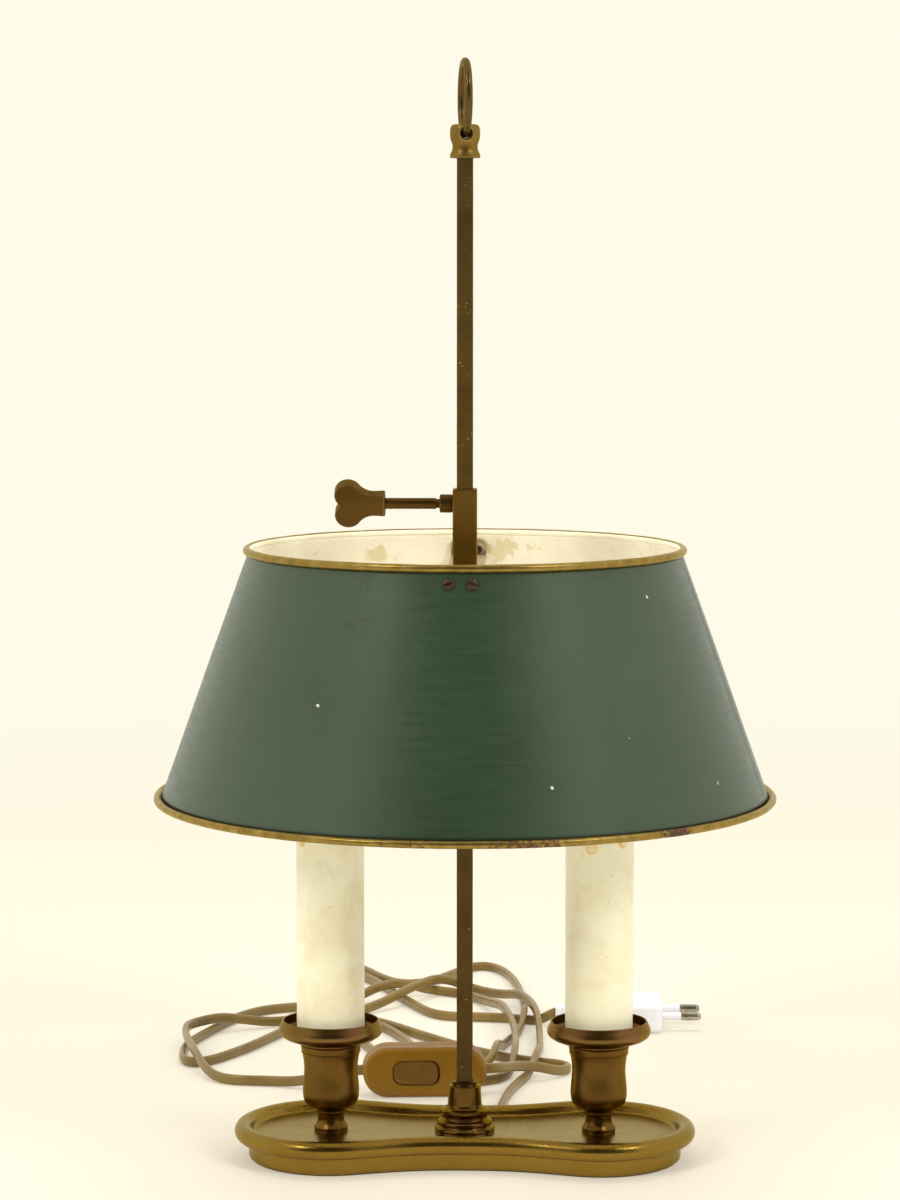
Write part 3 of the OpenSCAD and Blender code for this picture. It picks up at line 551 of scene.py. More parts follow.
# painted shadow in the groove under the rim's bead
BR_TRAY = old_brass("brass_tray", (142, 114, 49), (133, 106, 44), (150, 122, 55), 0.26, 0.2, fine=0.02,
                    edge_tint=(0.86, 0.84, 0.68), painted_shade_bands=((0.0071, 0.0076, 0.0003, 0.9),))
BR_PAN = old_brass("brass_pan", (116, 92, 48), (100, 76, 39), (132, 106, 58), 0.30, 0.6, (225, 210, 190), 0.06,
                   tint=(126, 84, 58), fine=0.04, edge_tint=(0.85, 0.78, 0.50))
BR_KEY = old_brass("brass_key", (98, 74, 36), (82, 60, 29), (112, 87, 44), 0.42, 0.8)
BR_SLEEVE = old_brass("brass_sleeve", (122, 92, 40), (104, 76, 32), (138, 107, 50), edge_wear_and_glint=0.6)
BR_FINIAL = old_brass("brass_finial", (128, 104, 50), (108, 86, 42), (150, 125, 64), bore=True)
BR_RING = old_brass("brass_ring", (104, 84, 50), (82, 64, 38), (130, 108, 68), edge_wear_and_glint=0.3)
BR_STRIP = old_brass("brass_strip", (190, 176, 142), (164, 148, 114), (210, 198, 168), 0.5, 0.4)


def gilt(name, worn, spots=(), inner=None):
    """gold paint on a bead, worn through to dark metal in flakes; the inner side can carry the cream paint"""
    n = Look(name)
    x, y, z = n.xyz()
    base = n.ramp(n.noise(220, 4, 0.6), [(0.25, rgb(124, 101, 46)), (0.52, rgb(148, 124, 62)),
                                         (0.80, rgb(176, 151, 86))])
    patch = n.noise(40, 5, 0.7)
    both = n.add(n.mul(patch, 0.45), n.mul(n.noise(480, 4, 0.7), 0.55))
    for cx, wx, more in spots:
        near = n.mul(n.span(n.gap(x, cx), 0.0, wx, 1.0, 0.0), n.under(y, 0.0))
        both = n.add(both, n.mul(near, more))
    gone = n.span(both, 0.63 - worn, 0.65 - worn)
    col = n.mix(gone, base, n.mix(patch, rgb(52, 31, 20), rgb(92, 60, 38)))
    metal = n.sub(0.9, n.mul(gone, 0.8))
    rough = n.add(0.30, n.mul(gone, 0.3))
    if inner:
        rim_r, rim_z = inner
        cream = n.mul(n.span(n.reach(x, y), rim_r - 0.0001, rim_r + 0.0001, 1.0, 0.0),
                      n.span(z, rim_z - 0.0001, rim_z + 0.0002, 1.0, 0.0))
        col = n.mix(cream, col, rgb(240, 234, 208))
        metal = n.mul(metal, n.sub(1.0, cream))
        rough = n.add(rough, n.mul(cream, 0.2))
    n.set(Base_Color=col, Metallic=metal, Roughness=rough, Specular_Tint=(0.95, 0.88, 0.66, 1))
    n.bump(n.sub(n.mul(n.noise(500, 3), 0.5), gone), 0.2, 0.00012)
    return n.mat


GILT_TOP = gilt("gilt_top", -0.02, (), ((SH_RT + 0.1) * MM, (SH_ZT + 1.1) * MM))
# where the lower bead is worn most: place along x, half width, strength
GILT_BOTTOM = gilt("gilt_bottom", 0.0, ((0.027, 0.026, 0.15), (0.083, 0.014, 0.20), (-0.019, 0.030, 0.10),
                                        (-0.085, 0.012, 0.07)))

# marks on the green paint: place, radius and, for a scuff, how much of it is left standing
SCUFFS = (
    ((-0.036, -0.0827, 0.2476), 0.006, 0.50),
    ((-0.0382, -0.0863, 0.2359), 0.007, 0.51),
    ((-0.0397, -0.0876, 0.2306), 0.008, 0.53),
    ((-0.0358, -0.088, 0.2338), 0.005, 0.50),
    ((0.0126, -0.0982, 0.2226), 0.010, 0.58),
    ((0.0153, -0.1008, 0.2144), 0.008, 0.58),
    ((-0.0569, -0.0998, 0.1781), 0.009, 0.60),
)
CHIPS = (
    ((-0.055, -0.092, 0.2), 0.0009),
    ((0.0727, -0.0581, 0.2392), 0.0008),
    ((0.0647, -0.0909, 0.1877), 0.0008),
    ((0.0353, -0.1119, 0.1713), 0.0008),
    ((0.1008, -0.0637, 0.1663), 0.0007),
)


def paint_out():
    """green paint on tinplate: brushed round, satin, with scuffs, chips and a lapped seam"""
    n = Look("shade_green")
    x, y, z = n.xyz()
    brush = n.noise(60, 5, 0.65, vec=n.obj((1, 1, 14)))
    col = n.ramp(n.noise(16, 5, 0.6), [(0.28, rgb(32, 49, 32)), (0.5, rgb(37, 55, 36)),
                                       (0.72, rgb(42, 61, 42))])
    col = n.glaze(col, n.span(brush, 0.42, 0.68), 0.22, 47, 66, 46)
    col = n.glaze(col, n.noise(520, 4, 0.6), 0.25, 50, 64, 49)

    def near(p, rad, soft=0.5):
        d = n.node("ShaderNodeVectorMath", {"operation": "DISTANCE"}, i0=n.place, i1=p).outputs["Value"]
        return n.span(d, rad * soft, rad, 1.0, 0.0)

    torn = n.noise(420, 4, 0.8, vec=n.obj((1, 1, 0.6)), distort=1.2)
    scuff = chip = 0.0
    for p, rad, cutoff in SCUFFS:
        scuff = n.most(scuff, n.mul(near(p, rad), n.span(torn, cutoff, cutoff + 0.04)))
    for p, rad in CHIPS:
        chip = n.most(chip, near(p, rad, 0.7))
    col = n.glaze(col, scuff, 0.8, 26, 32, 28)
    dark = n.mul(n.under(n.voronoi(150, n.obj((1, 1, 1), (3, 1, 2))), 0.045),
                 n.over(n.noise(22, 1, vec=n.obj((1, 1, 1), (7, 3, 1))), 0.60))
    col = n.glaze(col, dark, 0.7, 22, 27, 24)
    col = n.mix(n.mul(chip, n.span(n.noise(700, 3, 0.7), 0.44, 0.54)), col, rgb(205, 204, 184))
    # painted shade against both beads and painted shade along the edge of the seam's lap
    bead_shade = n.most(n.span(z, 0.2502, 0.2516), n.span(z, 0.1530, 0.1542, 1.0, 0.0))
    off_seam = n.gap(n.math("ARCTAN2", y, x), math.radians(SEAM - 2.2))
    lap = n.mul(n.span(off_seam, 0.0020, 0.0050, 1.0, 0.0), n.over(x, 0.0))
    col = n.glaze(col, n.most(bead_shade, lap), 0.75, 18, 22, 17)
    n.set(Base_Color=col, Metallic=0.0, Roughness=n.span(brush, 0.3, 0.7, 0.30, 0.38), Specular_IOR_Level=0.74,
          Specular_Tint=(0.90, 1.0, 0.82, 1))
    n.bump(n.add(n.mul(n.noise(700, 3), 0.5), n.mul(brush, 0.6)), 0.08, 0.00025)
    return n.mat


def paint_in():
    """cream paint inside, stained yellow-brown by heat near the top at the back"""
    n = Look("shade_cream")
    x, y, z = n.xyz()
    col = n.ramp(n.noise(30, 5, 0.6), [(0.3, rgb(234, 228, 204)), (0.6, rgb(246, 241, 222))])
    cloud = n.mul(n.noise(95, 7, 0.68), 4.4)
    stain = 0.0
    for cx, cz, wx, wz in ((0.013, 0.247, 0.013, 0.011), (-0.038, 0.244, 0.011, 0.005),
                           (0.028, 0.246, 0.007, 0.004)):
        u = n.mul(n.sub(x, cx), 1 / wx)
        v = n.mul(n.sub(z, cz), 1 / wz)
        d = n.sub(n.sub(2.6, n.add(n.mul(u, u), n.mul(v, v))), cloud)
        stain = n.most(stain, n.mul(n.span(d, 0.0, 0.5), n.over(y, 0.0)))
    col = n.glaze(col, stain, 0.62, 206, 188, 128)
    rim = n.mul(n.span(n.noise(90, 6, 0.7), 0.60, 0.68), n.span(z, 0.215, 0.250))
    col = n.glaze(col, rim, 0.30, 190, 160, 100)
    n.set(Base_Color=col, Roughness=0.5)
    n.bump(n.noise(500, 4), 0.1, 0.0002)
    return n.mat


def wax_card():
    """ivory candle sleeve with faint creases and yellowed patches; runs of wax are oranger"""
    n = Look("candle_ivory")
    x, y, z = n.xyz()
    col = n.ramp(n.noise(55, 5, 0.62), [(0.28, rgb(231, 222, 190)), (0.5, rgb(243, 238, 214)),
                                        (0.75, rgb(250, 247, 230))])
    vein = n.noise(24, 3, 0.5, vec=n.obj((1, 1, 0.6), (0.3, 0.1, 0)), distort=0.6)
    line = n.mul(n.span(n.gap(vein, 0.5), 0.0, 0.010, 1.0, 0.0), n.span(n.noise(40, 3), 0.50, 0.62))
    col = n.glaze(col, line, 0.16, 205, 190, 140)
    rub = n.span(n.noise(30, 6, 0.7, vec=n.obj((1.6, 1.6, 0.7), (1, 2, 0))), 0.56, 0.70)
    col = n.glaze(col, rub, 0.35, 216, 200, 148)
    spot = n.mul(n.under(n.voronoi(210), 0.09), n.over(n.noise(60, 1), 0.58))
    col = n.glaze(col, spot, 0.45, 190, 160, 100)
    # painted shade: darker towards the foot, holding back the light reflected up from the tray and pans
    col = n.mix(n.span(z, 0.052, 0.105, 0.34, 0.0), col, rgb(222, 210, 170))
    drip = n.node("ShaderNodeAttribute", {"attribute_name": "drip"}).outputs["Fac"]
    col = n.mix(drip, col, rgb(224, 178, 84))
    n.set(Base_Color=col, Roughness=n.sub(0.46, n.mul(drip, 0.14)),
          Subsurface_Weight=0.15, Subsurface_Scale=0.003,
          Subsurface_Radius=(1.0, 0.6, 0.3))
    n.bump(n.add(n.mul(line, -0.5), n.noise(180, 4)), 0.18, 0.0003)
    return n.mat


def felt():
    n = Look("felt_green")
    n.set(Base_Color=n.ramp(n.noise(900, 6, 0.7), [(0.3, rgb(44, 42, 28)), (0.7, rgb(66, 62, 42))]),
          Roughness=0.95)
    n.bump(n.noise(2500, 5), 0.8, 0.0005)
    return n.mat


def milk_glass():
    n = Look("bulb_milk")
    n.set(Base_Color=n.ramp(n.noise(60, 3), [(0.3, rgb(238, 236, 226)), (0.7, rgb(248, 247, 240))]),
          Roughness=0.18, Subsurface_Weight=0.2, Subsurface_Scale=0.004)
    n.bump(n.noise(900, 3), 0.03, 0.0001)
    return n.mat


def plain(name, col, col2, rough, scale=120, metal=0.0, bump=0.1, spec=0.5):
    """one colour, clouded by a second"""
    n = Look(name)
    n.set(Base_Color=n.ramp(n.noise(scale, 5, 0.6), [(0.3, rgb(*col2)), (0.7, rgb(*col))]), Metallic=metal,
          Roughness=n.span(n.noise(scale * 2, 4), 0.3, 0.7, rough - 0.05, rough + 0.06),
          Specular_IOR_Level=spec)
    n.bump(n.noise(scale * 6, 4), bump, 0.0002)
    return n.mat


GREEN = paint_out()
CREAM = paint_in()
CANDLE = wax_card()
FLEX = plain("flex_gold", (130, 107, 52), (110, 88, 40), 0.32, 60, 0.0, 0.06)
SWITCH = plain("switch_mustard", (132, 94, 14), (118, 83, 10), 0.42, 50, 0.0, 0.05, 0.3)
ROCKER = plain("rocker_brown", (106, 72, 14), (92, 60, 10), 0.38, 160, 0.0, 0.12, 0.35)
PLUGW = plain("plug_white", (236, 236, 244), (226, 226, 236), 0.35, 60, 0.0, 0.04)
PINS = plain("pin_nickel", (196, 190, 176), (150, 142, 126), 0.25, 200, 1.0, 0.05)
SCREW = plain("screw_browned", (96, 76, 58), (50, 39, 32), 0.42, 900, 0.7, 0.3)
NUT = plain("nut_painted", (206, 196, 164), (176, 162, 128), 0.5, 500, 0.2, 0.2)
STEEL = plain("plain_steel", (170, 168, 162), (140, 138, 132), 0.35, 300, 1.0)
HOLDER = plain("holder_black", (36, 33, 31), (24, 22, 21), 0.4, 200)
RUBBER = plain("gland_rubber", (30, 30, 30), (22, 22, 22), 0.6, 300, 0.0, 0.2)
BLOCK = plain("block_plastic", (220, 218, 205), (205, 203, 190), 0.5, 200)
STEM = plain("stem_brass", (176, 146, 84, 1.1), (140, 112, 58, 1.1), 0.35, 300, 1.0)
CAPAL = plain("cap_aluminium", (200, 198, 190), (170, 168, 160), 0.32, 400, 1.0)
FELT = felt()
MILK = milk_glass()


def piece(ob, body, mat, node):
    """gives a finished piece its material and body, and hides the node it stands for"""
    if mat is not None:
        ob.data.materials.clear()
        ob.data.materials.append(mat)
    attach(ob, body)
    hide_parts(node)
    return ob


# ------------------------------------------------------------------ flex: both lays, as points in millimetres
ON_FLOOR = 2.3  # height of the points that are given without one
FLEX_A = [
    (12, 19.4, 4.6), (12, 28.009, 4.6), (12, 38, 3.4), (13, 58, 2.4), (15, 85), (18, 108), (22, 126),
    (25.5, 139), (28, 151, 4.6), (30, 163, 7.2), (31, 174, 6.8), (31.5, 190, 3.4), (31.5, 210),
    (31.3, 228, 2.8), (30.8, 243, 5.8), (29.6, 257, 7.3), (28, 271, 7.3), (25, 285, 7.3), (20.5, 297, 7.2),
    (14.5, 311, 4.2), (6, 324, 2.4), (-4, 331, 3.6), (-13, 331.5, 6.8), (-21, 326.5, 8.5), (-28, 316, 8.1),
    (-35, 304, 7.4), (-45, 292, 4.2), (-56, 279, 2.4), (-70, 267), (-87, 257), (-99, 250, 2.8),
    (-110, 244.5, 5), (-121, 238, 7.3), (-129, 230, 7.4), (-135, 220, 7.4), (-135.5, 208, 7.4),
    (-133, 191, 7.4), (-129, 173, 7.4), (-125, 157, 6.4), (-119.5, 142, 3.6), (-113, 132, 2.4), (-104, 127.5),
    (-92, 126.5), (-78, 122.5, 3), (-65, 116.5, 6.8), (-55, 111.5, 10.4), (-48.431, 110.012, 11.2),
    (-43.443, 110.361, 11.2)]
FLEX_B = [
    (3.443, 113.639, 11.2), (8.431, 113.988, 11.2), (13, 117, 11), (17.5, 126, 9.4), (22.5, 134.5, 7.8),
    (31, 140, 6.2), (39.5, 145.5, 3.2), (44.5, 154), (41.5, 161.5), (31, 166.5), (18, 174.5), (4, 187),
    (-8, 201), (-23, 221), (-35, 238), (-46, 252), (-59, 259.5), (-74, 256), (-84, 246), (-90, 233), (-96, 217),
    (-104, 197), (-113.5, 178), (-121, 166.5), (-127.5, 163), (-132.5, 168.5), (-134.5, 182), (-134, 198),
    (-130, 216), (-124, 236), (-118, 255), (-110, 271), (-101, 281), (-88, 287), (-73, 294), (-61, 303.5, 3),
    (-51, 313.5, 6.2), (-42, 321, 7.3), (-34, 325.5, 6), (-26, 327.5, 3.4), (-17, 326, 2.5), (-7, 320.5),
    (2, 306, 2.6), (8.5, 288, 4.6), (12.5, 272, 6.9), (15, 258, 7.3), (17.5, 240, 7.3), (19, 222, 7.3),
    (19.8, 205, 7.3), (20.2, 190, 7.3), (20, 175, 7.3), (19.2, 162, 5.4), (18.3, 150, 2.9), (15.8, 139),
    (10, 131), (-2, 127), (-16, 129.5), (-27, 140), (-36, 158), (-43, 178), (-49, 198), (-55, 216),
    (-58.5, 231), (-57.5, 242.5), (-51.5, 247), (-44.5, 242.5), (-38, 229), (-30, 206), (-27.5, 190),
    (-25.5, 174), (-21, 160), (-13.5, 151), (-5, 148), (3, 151.5), (8.5, 160.5, 4.6), (10.5, 170.5, 6.9),
    (11.5, 180, 7.3), (12.5, 190, 5.2), (14, 200, 2.6), (16.5, 211), (20, 224), (22.5, 240, 3), (23.6, 252, 6),
    (24, 261, 7.3), (24, 269, 5.8), (24, 277.5, 2.7), (23.8, 290), (23, 310), (21, 335), (17, 363), (10.5, 384),
    (3, 392), (-5, 387.5), (-12.5, 372), (-21.5, 354.5), (-31, 345.5), (-41, 347), (-50, 361), (-57.5, 378),
    (-64, 387), (-71, 387), (-72.5, 380), (-67, 373), (-58.5, 363), (-48.5, 341), (-42.5, 325), (-37.5, 311),
    (-31, 295), (-23, 276.5), (-14.5, 268), (-4, 266), (6, 265), (15, 263), (24.5, 260), (31.5, 257.5, 2.7),
    (39, 257, 6.85), (47, 257, 6.85)]


def smooth_way(pts):
    """a smooth line through the points, its small kinks evened out"""
    d = np.array(spline([(*p, ON_FLOOR)[:3] for p in pts], 8))
    for _ in range(10):
        e = d.copy()
        e[2:-2] = 0.5 * d[2:-2] + 0.25 * (d[1:-3] + d[3:-1])
        d = e
    return d


def make_flex_tree():
    """sweeps a flat section, with a groove between its two cores, along the path"""
    t = Tree("flat_flex_on_a_path", half_height="Float", half_width="Float", groove="Float",
             groove_reach="Float",
             finish="Material")
    g = t.given
    way = t.wire("GeometryNodeSetCurveNormal", {"mode": "Z_UP"}, Curve=t.wire("GeometryNodeMeshToCurve",
                                                                              Mesh=g["Geometry"]))
    spot = t.node("ShaderNodeSeparateXYZ", i0=t.wire("GeometryNodeInputPosition")).outputs

    def squared(v, power):
        """makes the round section squarer"""
        return t.mul(t.math("SIGN", v), t.math("POWER", t.math("ABSOLUTE", v), power))

    high = t.mul(squared(spot[1], 0.92), g["half_height"])
    near = t.mul(t.math("POWER", t.math("DIVIDE", high, g["groove_reach"]), 2.0), -1.0)
    dip = t.sub(1.0, t.mul(g["groove"], t.math("EXPONENT", near)))
    wide = t.mul(t.mul(squared(spot[0], 0.72), g["half_width"]), dip)
    sect = t.moved(t.circle(28, 1.0), Position=t.xyz(wide, high, 0.0))
    return t.close(t.wire("GeometryNodeCurveToMesh", Curve=way, Profile_Curve=sect, Fill_Caps=True))


FLEX_TREE = make_flex_tree()


def flat_flex(name, pts):
    """two cores side by side under one sheath, on edge, run along the path by a tree"""
    way = smooth_way(pts)
    me = bpy.data.meshes.new(name)
    me.from_pydata([tuple(p * MM) for p in way], [(i, i + 1) for i in range(len(way) - 1)], [])
    ob = grow(add_object(name, me), FLEX_TREE, half_height=2.3 * MM, half_width=1.6 * MM, groove=0.11,
              groove_reach=0.42 * MM, finish=FLEX)
    return shade(outward(ob), 60), way


flex_a, way_a = flat_flex("flex_to_switch", FLEX_A)
piece(flex_a, "stand", None, "cord_to_switch")
flex_b, way_b = flat_flex("flex_to_plug", FLEX_B)
piece(flex_b, "stand", None, "cord_to_plug")


# ------------------------------------------------------------------ tray and felt
def outline(d, n_lobe=72, n_waist=44):
    """the tray's plan, drawn in by d: two round ends joined by two hollows"""
    half = math.degrees(math.atan2(YC, -C))
    wa = math.degrees(math.atan2(C, YC))
    out = arc(C, 0, LOBE - d, -half, half, n_lobe)[:-1]
    out += arc(0, YC, RC + d, -90 + wa, -90 - wa, n_waist)[:-1]
    out += arc(-C, 0, LOBE - d, 180 - half, 180 + half, n_lobe)[:-1]
    out += arc(0, -YC, RC + d, 90 + wa, 90 - wa, n_waist)[:-1]
    return out


def lobed(x, y, z):
    """the two round ends are a touch deeper than they are wide"""
    k = max(0.0, min(1.0, (abs(x) - 16) / 26))
    return (x, y * (1 + 0.04 * k * k * (3 - 2 * k)), z)


def tray():
    prof = [(8.2, 8.4), (8.2, 0.7), (8.0, 0.5)]
    prof += fillet([(6.9, 0.5), (6.2, 0.55, 0.5), (5.95, 1.6, 0.5), (5.95, 3.4), (6.0, 6.3), (5.85, 6.9, 0.2),
                    (5.6, 7.15, 0.15),
                    (5.3, 7.35, 0.1), (5.25, 7.65)], 3)
    prof += arc(3.7, 11.3, 3.7, -66, -270, 36)
    prof += arc(3.7, 11.3, 3.7, 86, 24, 10)
    prof += spline([(7.35, 12.2), (7.75, 11.55), (8.3, 11.2), (9.1, 11.05), (10.4, 11.0)], 4)
    prof += [(14, 11.0), (20, 11.0), (27, 11.0)]
    # the first ring is the underside of the floor, inside the foot
    rings = [[lobed(x, y, z) for x, y in outline(d)] for d, z in [(27, 8.4)] + prof]
    return wobble(loft("tray_body", rings), 0.04, 26, 3)


piece(weigh(tray()), "stand", BR_TRAY, "base_tray")
f = loft("felt_body", [[lobed(x, y, z) for x, y in outline(d)]
                       for d, z in ((7.2, 0.0), (6.9, 0.12), (6.8, 0.5), (8.25, 0.5), (8.25, 1.2))])
piece(f, "stand", FELT, "felt_pad")

# ------------------------------------------------------------------ column boss
b = revolve("boss_body", fillet([
    (0, 10.5), (12.2, 10.5), (12.45, 11.0, 0.1), (12.35, 11.25, 0.05)], 3)
    + arc(11.12, 12.15, 1.3, -32, 62, 10)
    + fillet([(11.55, 13.45), (11.25, 13.6, 0.1), (11.1, 13.85)], 3)
    + arc(10.1, 14.85, 1.22, -42, 64, 10)
    + spline([(10.2, 16.1), (9.55, 16.5), (9.25, 17.2), (9.3, 18.0), (9.6, 18.65)], 4)
    + fillet([(9.9, 18.85), (10.1, 19.2, 0.12), (10.08, 19.9, 0.25), (9.7, 20.35, 0.2), (9.0, 20.6)], 4)
    + spline([(8.4, 20.75), (7.65, 21.1), (7.2, 21.7), (7.03, 22.6)], 5)
    + fillet([(6.96, 24.2), (6.68, 29.9, 0.22), (6.3, 30.3, 0.12), (5.3, 30.25, 0.1), (5.2, 31.6, 0.25),
              (4.75, 31.95, 0.2),
              (3.0, 31.95), (3.0, 10.6), (0, 10.6)], 4), 128)
piece(weigh(b), "stand", BR_BOSS, "column_boss")


# ------------------------------------------------------------------ rod
def square_rod():
    """a square bar with softened corners, worn a little hollow here and there"""
    base = rounded(3.3, 3.3, 0.42)
    rings = []
    for z in np.linspace(25.4, ROD_TOP - 0.15, 230):
        ring = []
        for x, y in base:
            n = noise.noise(Vector((x * 0.25, y * 0.25, z * 0.09)))
            m = noise.noise(Vector((x * 0.9 + 7, y * 0.9, z * 0.5)))
            g = 1 - abs(n) * 0.010 - max(0, m - 0.35) * 0.03
            ring.append((x * g, y * g, z))
        rings.append(ring)
    return loft("rod_body", rings + [[(x * 0.95, y * 0.95, ROD_TOP) for x, y in base]])


piece(weigh(square_rod()), "stand", BR_ROD, "rod")

# ------------------------------------------------------------------ finial and its ring
prof = ([(0, 0)] + fillet([(5.0, 0), (6.1, 0.05, 0.2), (6.15, 1.3, 0.3)], 4)
        + spline([(6.02, 1.75), (5.65, 2.4), (5.25, 3.4), (5.1, 4.5), (5.22, 5.7), (5.62, 6.8), (5.98, 8.0),
                  (6.1, 9.4),
                  (6.08, 11.0), (5.9, 12.2), (5.45, 13.1), (4.7, 13.55), (3.2, 13.7)], 5) + [(0, 13.72)])
knob = revolve("finial_body", [(r, ROD_TOP + z) for r, z in prof])
flare_r = 14.6  # the hole widens along an arc towards both mouths
flare = [(1.66 + flare_r - math.sqrt(flare_r ** 2 - y * y), y) for y in np.linspace(-8.5, 8.5, 25)]
tool = revolve("hole_tool", [(0, -8.5)] + flare + [(0, 8.5)], 64)
cut(knob, move(tool, shift(0, 0, HOLE_Z) @ turn(RING_YAW, "Z") @ turn(90, "X")))
piece(weigh(soften(knob, 0.22, 38, 3)), "stand", BR_FINIAL, "finial")


def lifting_ring():
    """a ring of round wire, 3.2 mm thick, slightly uneven"""
    rings = []
    for i in range(144):
        a = TAU * i / 144
        ring = []
        for k in range(24):
            q = TAU * k / 24
            s = 1.6 * (1 + 0.03 * noise.noise(Vector((math.cos(a) * 3, math.sin(a) * 3, math.cos(q)))))
            r = RING_R + s * math.cos(q)
            ring.append((r * math.cos(a), r * math.sin(a), s * math.sin(q)))
        rings.append(ring)
    return loft("ring_body", rings, closed=True)


rg = move(lifting_ring(), shift(0, 0, HOLE_Z + RING_R) @ turn(RING_YAW, "Z") @ turn(90, "Y"))
piece(rg, "ring", BR_RING, "finial_ring")

# ------------------------------------------------------------------ cups, pans, candles, holders, bulbs
cup_prof = ([(0, 10.5)] + fillet([(6.6, 10.5), (6.9, 10.95, 0.1), (6.75, 11.3, 0.08), (6.95, 11.5, 0.1),
                                  (6.95, 12.6, 0.35),
                                  (6.5, 13.3, 0.3)], 4)
            + spline([(6.25, 13.6), (5.75, 14.4), (5.42, 15.4), (5.32, 16.6), (5.45, 17.7), (5.85, 18.5)], 5)
            + fillet([(6.1, 18.75), (6.5, 19.0, 0.15), (6.5, 19.6, 0.15), (6.2, 19.85, 0.1), (6.45, 20.15)], 3)
            + spline([(6.9, 20.35), (8.1, 20.95), (9.5, 21.8), (10.6, 22.9), (11.3, 24.4), (11.62, 26.2),
                      (11.68, 28.2), (11.5, 31),
                      (11.22, 34), (11.08, 36.6), (11.2, 39.5), (11.5, 41.9), (11.85, 43.4)], 6)
            + fillet([(11.95, 43.8), (12.0, 43.95, 0.05), (12.28, 44.1, 0.1), (12.3, 44.4, 0.1),
                      (12.05, 44.6, 0.1), (12.15, 45.0),
                      (12.35, 46.0, 0.5), (12.5, 46.8, 0.2), (12.35, 47.5), (9.8, 47.5), (9.6, 27), (4.1, 26),
                      (4.1, 10.6),
                      (0, 10.6)], 4))
pan_prof = fillet([
    (10.9, 47.5), (12.7, 47.5, 0.2), (12.8, 48.2, 0.3), (14.0, 48.6), (16.6, 49.2), (18.9, 50.1),
    (20.5, 51.2), (21.3, 52.3),
    (21.5, 53.3), (21.4, 54.2), (20.95, 55.2), (20.3, 56.5), (20.0, 57.35, 0.2), (19.6, 57.6, 0.2),
    (19.3, 57.3, 0.2), (19.4, 56.6),
    (19.95, 55.2), (20.25, 54.2), (20.1, 53.2), (19.4, 52.3), (18.0, 51.7), (16.4, 51.4), (12.7, 51.3, 0.1),
    (12.65, 54.0, 0.2),
    (11.5, 54.0, 0.2), (11.5, 51.2), (4.1, 51.2), (4.1, 50.2), (10.9, 50.1)], 3, closed=True)


def candle_body(name, cx, drips, seed):
    """outer face as a height field with runs of wax, then lip and bore"""
    segs, ridge = 224, []

    def wax(a, z):
        """how far the runs of wax stand out"""
        h = 0.0
        for da, low, rad in drips:
            x = ((a - math.radians(da) + math.pi) % TAU - math.pi) * 14
            tail = 150 - low
            wd = rad * (0.62 + 0.38 * math.exp(-((z - tail) / (rad * 1.3)) ** 2))
            g = 1 - (x / wd) ** 2
            if z < tail:
                g -= ((z - tail) / (rad * 0.95)) ** 2
            if g > 0:
                h = max(h, wd * 0.72 * math.sqrt(g))
        return h

    def side(z):
        def rz(a):
            w = noise.noise(Vector((math.cos(a) * 1.3 + seed, math.sin(a) * 1.3, z * 0.03)))
            w2 = noise.noise(Vector((math.cos(a) * 5 + seed, math.sin(a) * 5, z * 0.11)))
            h = wax(a, z)
            ridge.append(min(1.0, h / 0.35) * (1 - 0.55 * min(1.0, (h / 1.3) ** 2)))
            return 14 + 0.10 * w + 0.05 * w2 + h, z
        return ring_of(segs, rz, cx)

    def lip(r, z):
        def rz(a):
            ridge.append(0.0)
            w = 0.25 * noise.noise(Vector((math.cos(a) * 2 + seed, math.sin(a) * 2, 4))) if z > 149 else 0
            return r, z + w
        return ring_of(segs, rz, cx)

    zs = [51.5, 51.7, 52.2] + list(np.linspace(54, 122, 60)) + list(np.linspace(122.8, 149.3, 56)) + [149.7]
    rings = [side(z) for z in zs]
    rings += [lip(r, z) for r, z in ((13.75, 150.0), (13.2, 150.05), (12.95, 149.9), (12.8, 149.5),
                                     (12.8, 51.5))]
    ob = loft(name, rings, closed=True)
    ob.data.attributes.new("drip", "FLOAT", "POINT").data.foreach_set("value", ridge)
    return ob


holder_prof = [(0, 104)] + fillet([
    (7.2, 104), (7.5, 104.3, 0.2), (7.5, 109.6, 0.2), (8.2, 110.0, 0.3), (11.2, 110.2, 0.4), (11.5, 110.8, 0.3),
    (11.5, 126, 0.1), (11.2, 126.3, 0.1), (11.2, 126.9, 0.1), (11.5, 127.2, 0.1), (11.5, 142.4, 0.3),
    (11.0, 143, 0.3),
    (7.5, 143, 0.3), (7.1, 142.6, 0.2), (7.1, 124), (0, 124)], 3)

bulb_prof = ([(0, 144.0), (7.2, 144.0), (7.45, 144.6), (7.55, 147.8)]
             + spline([(8.2, 151.0), (9.7, 154.2), (12.0, 157.4), (14.4, 160.8), (16.3, 164.6), (17.3, 169.2),
                       (17.5, 173.0),
                       (17.2, 178.5), (16.2, 184.5), (14.5, 191.0), (12.0, 198.0), (9.0, 205.0), (6.2, 211.5),
                       (4.2, 216.5),
                       (2.6, 220.0), (1.2, 221.6)], 4) + [(0, 222.0)])


def screw_cap(name, cx):
    """rolled thread of a lamp cap, as a real spiral, on its stepped foot"""
    low = [level(72, r, z, cx) for r, z in ((0.8, 124.0), (2.3, 124.05), (2.4, 125.4), (4.4, 126.0),
                                            (6.2, 127.6))]
    thread = [ring_of(72, lambda a: (6.68 + 0.30 * math.sin((z / 2.82 - a / TAU) * TAU), z), cx)
              for z in np.linspace(128.2, 143.6, 78)]
    return loft(name, low + thread + [level(72, 6.95, z, cx) for z in (143.8, 144.0)])


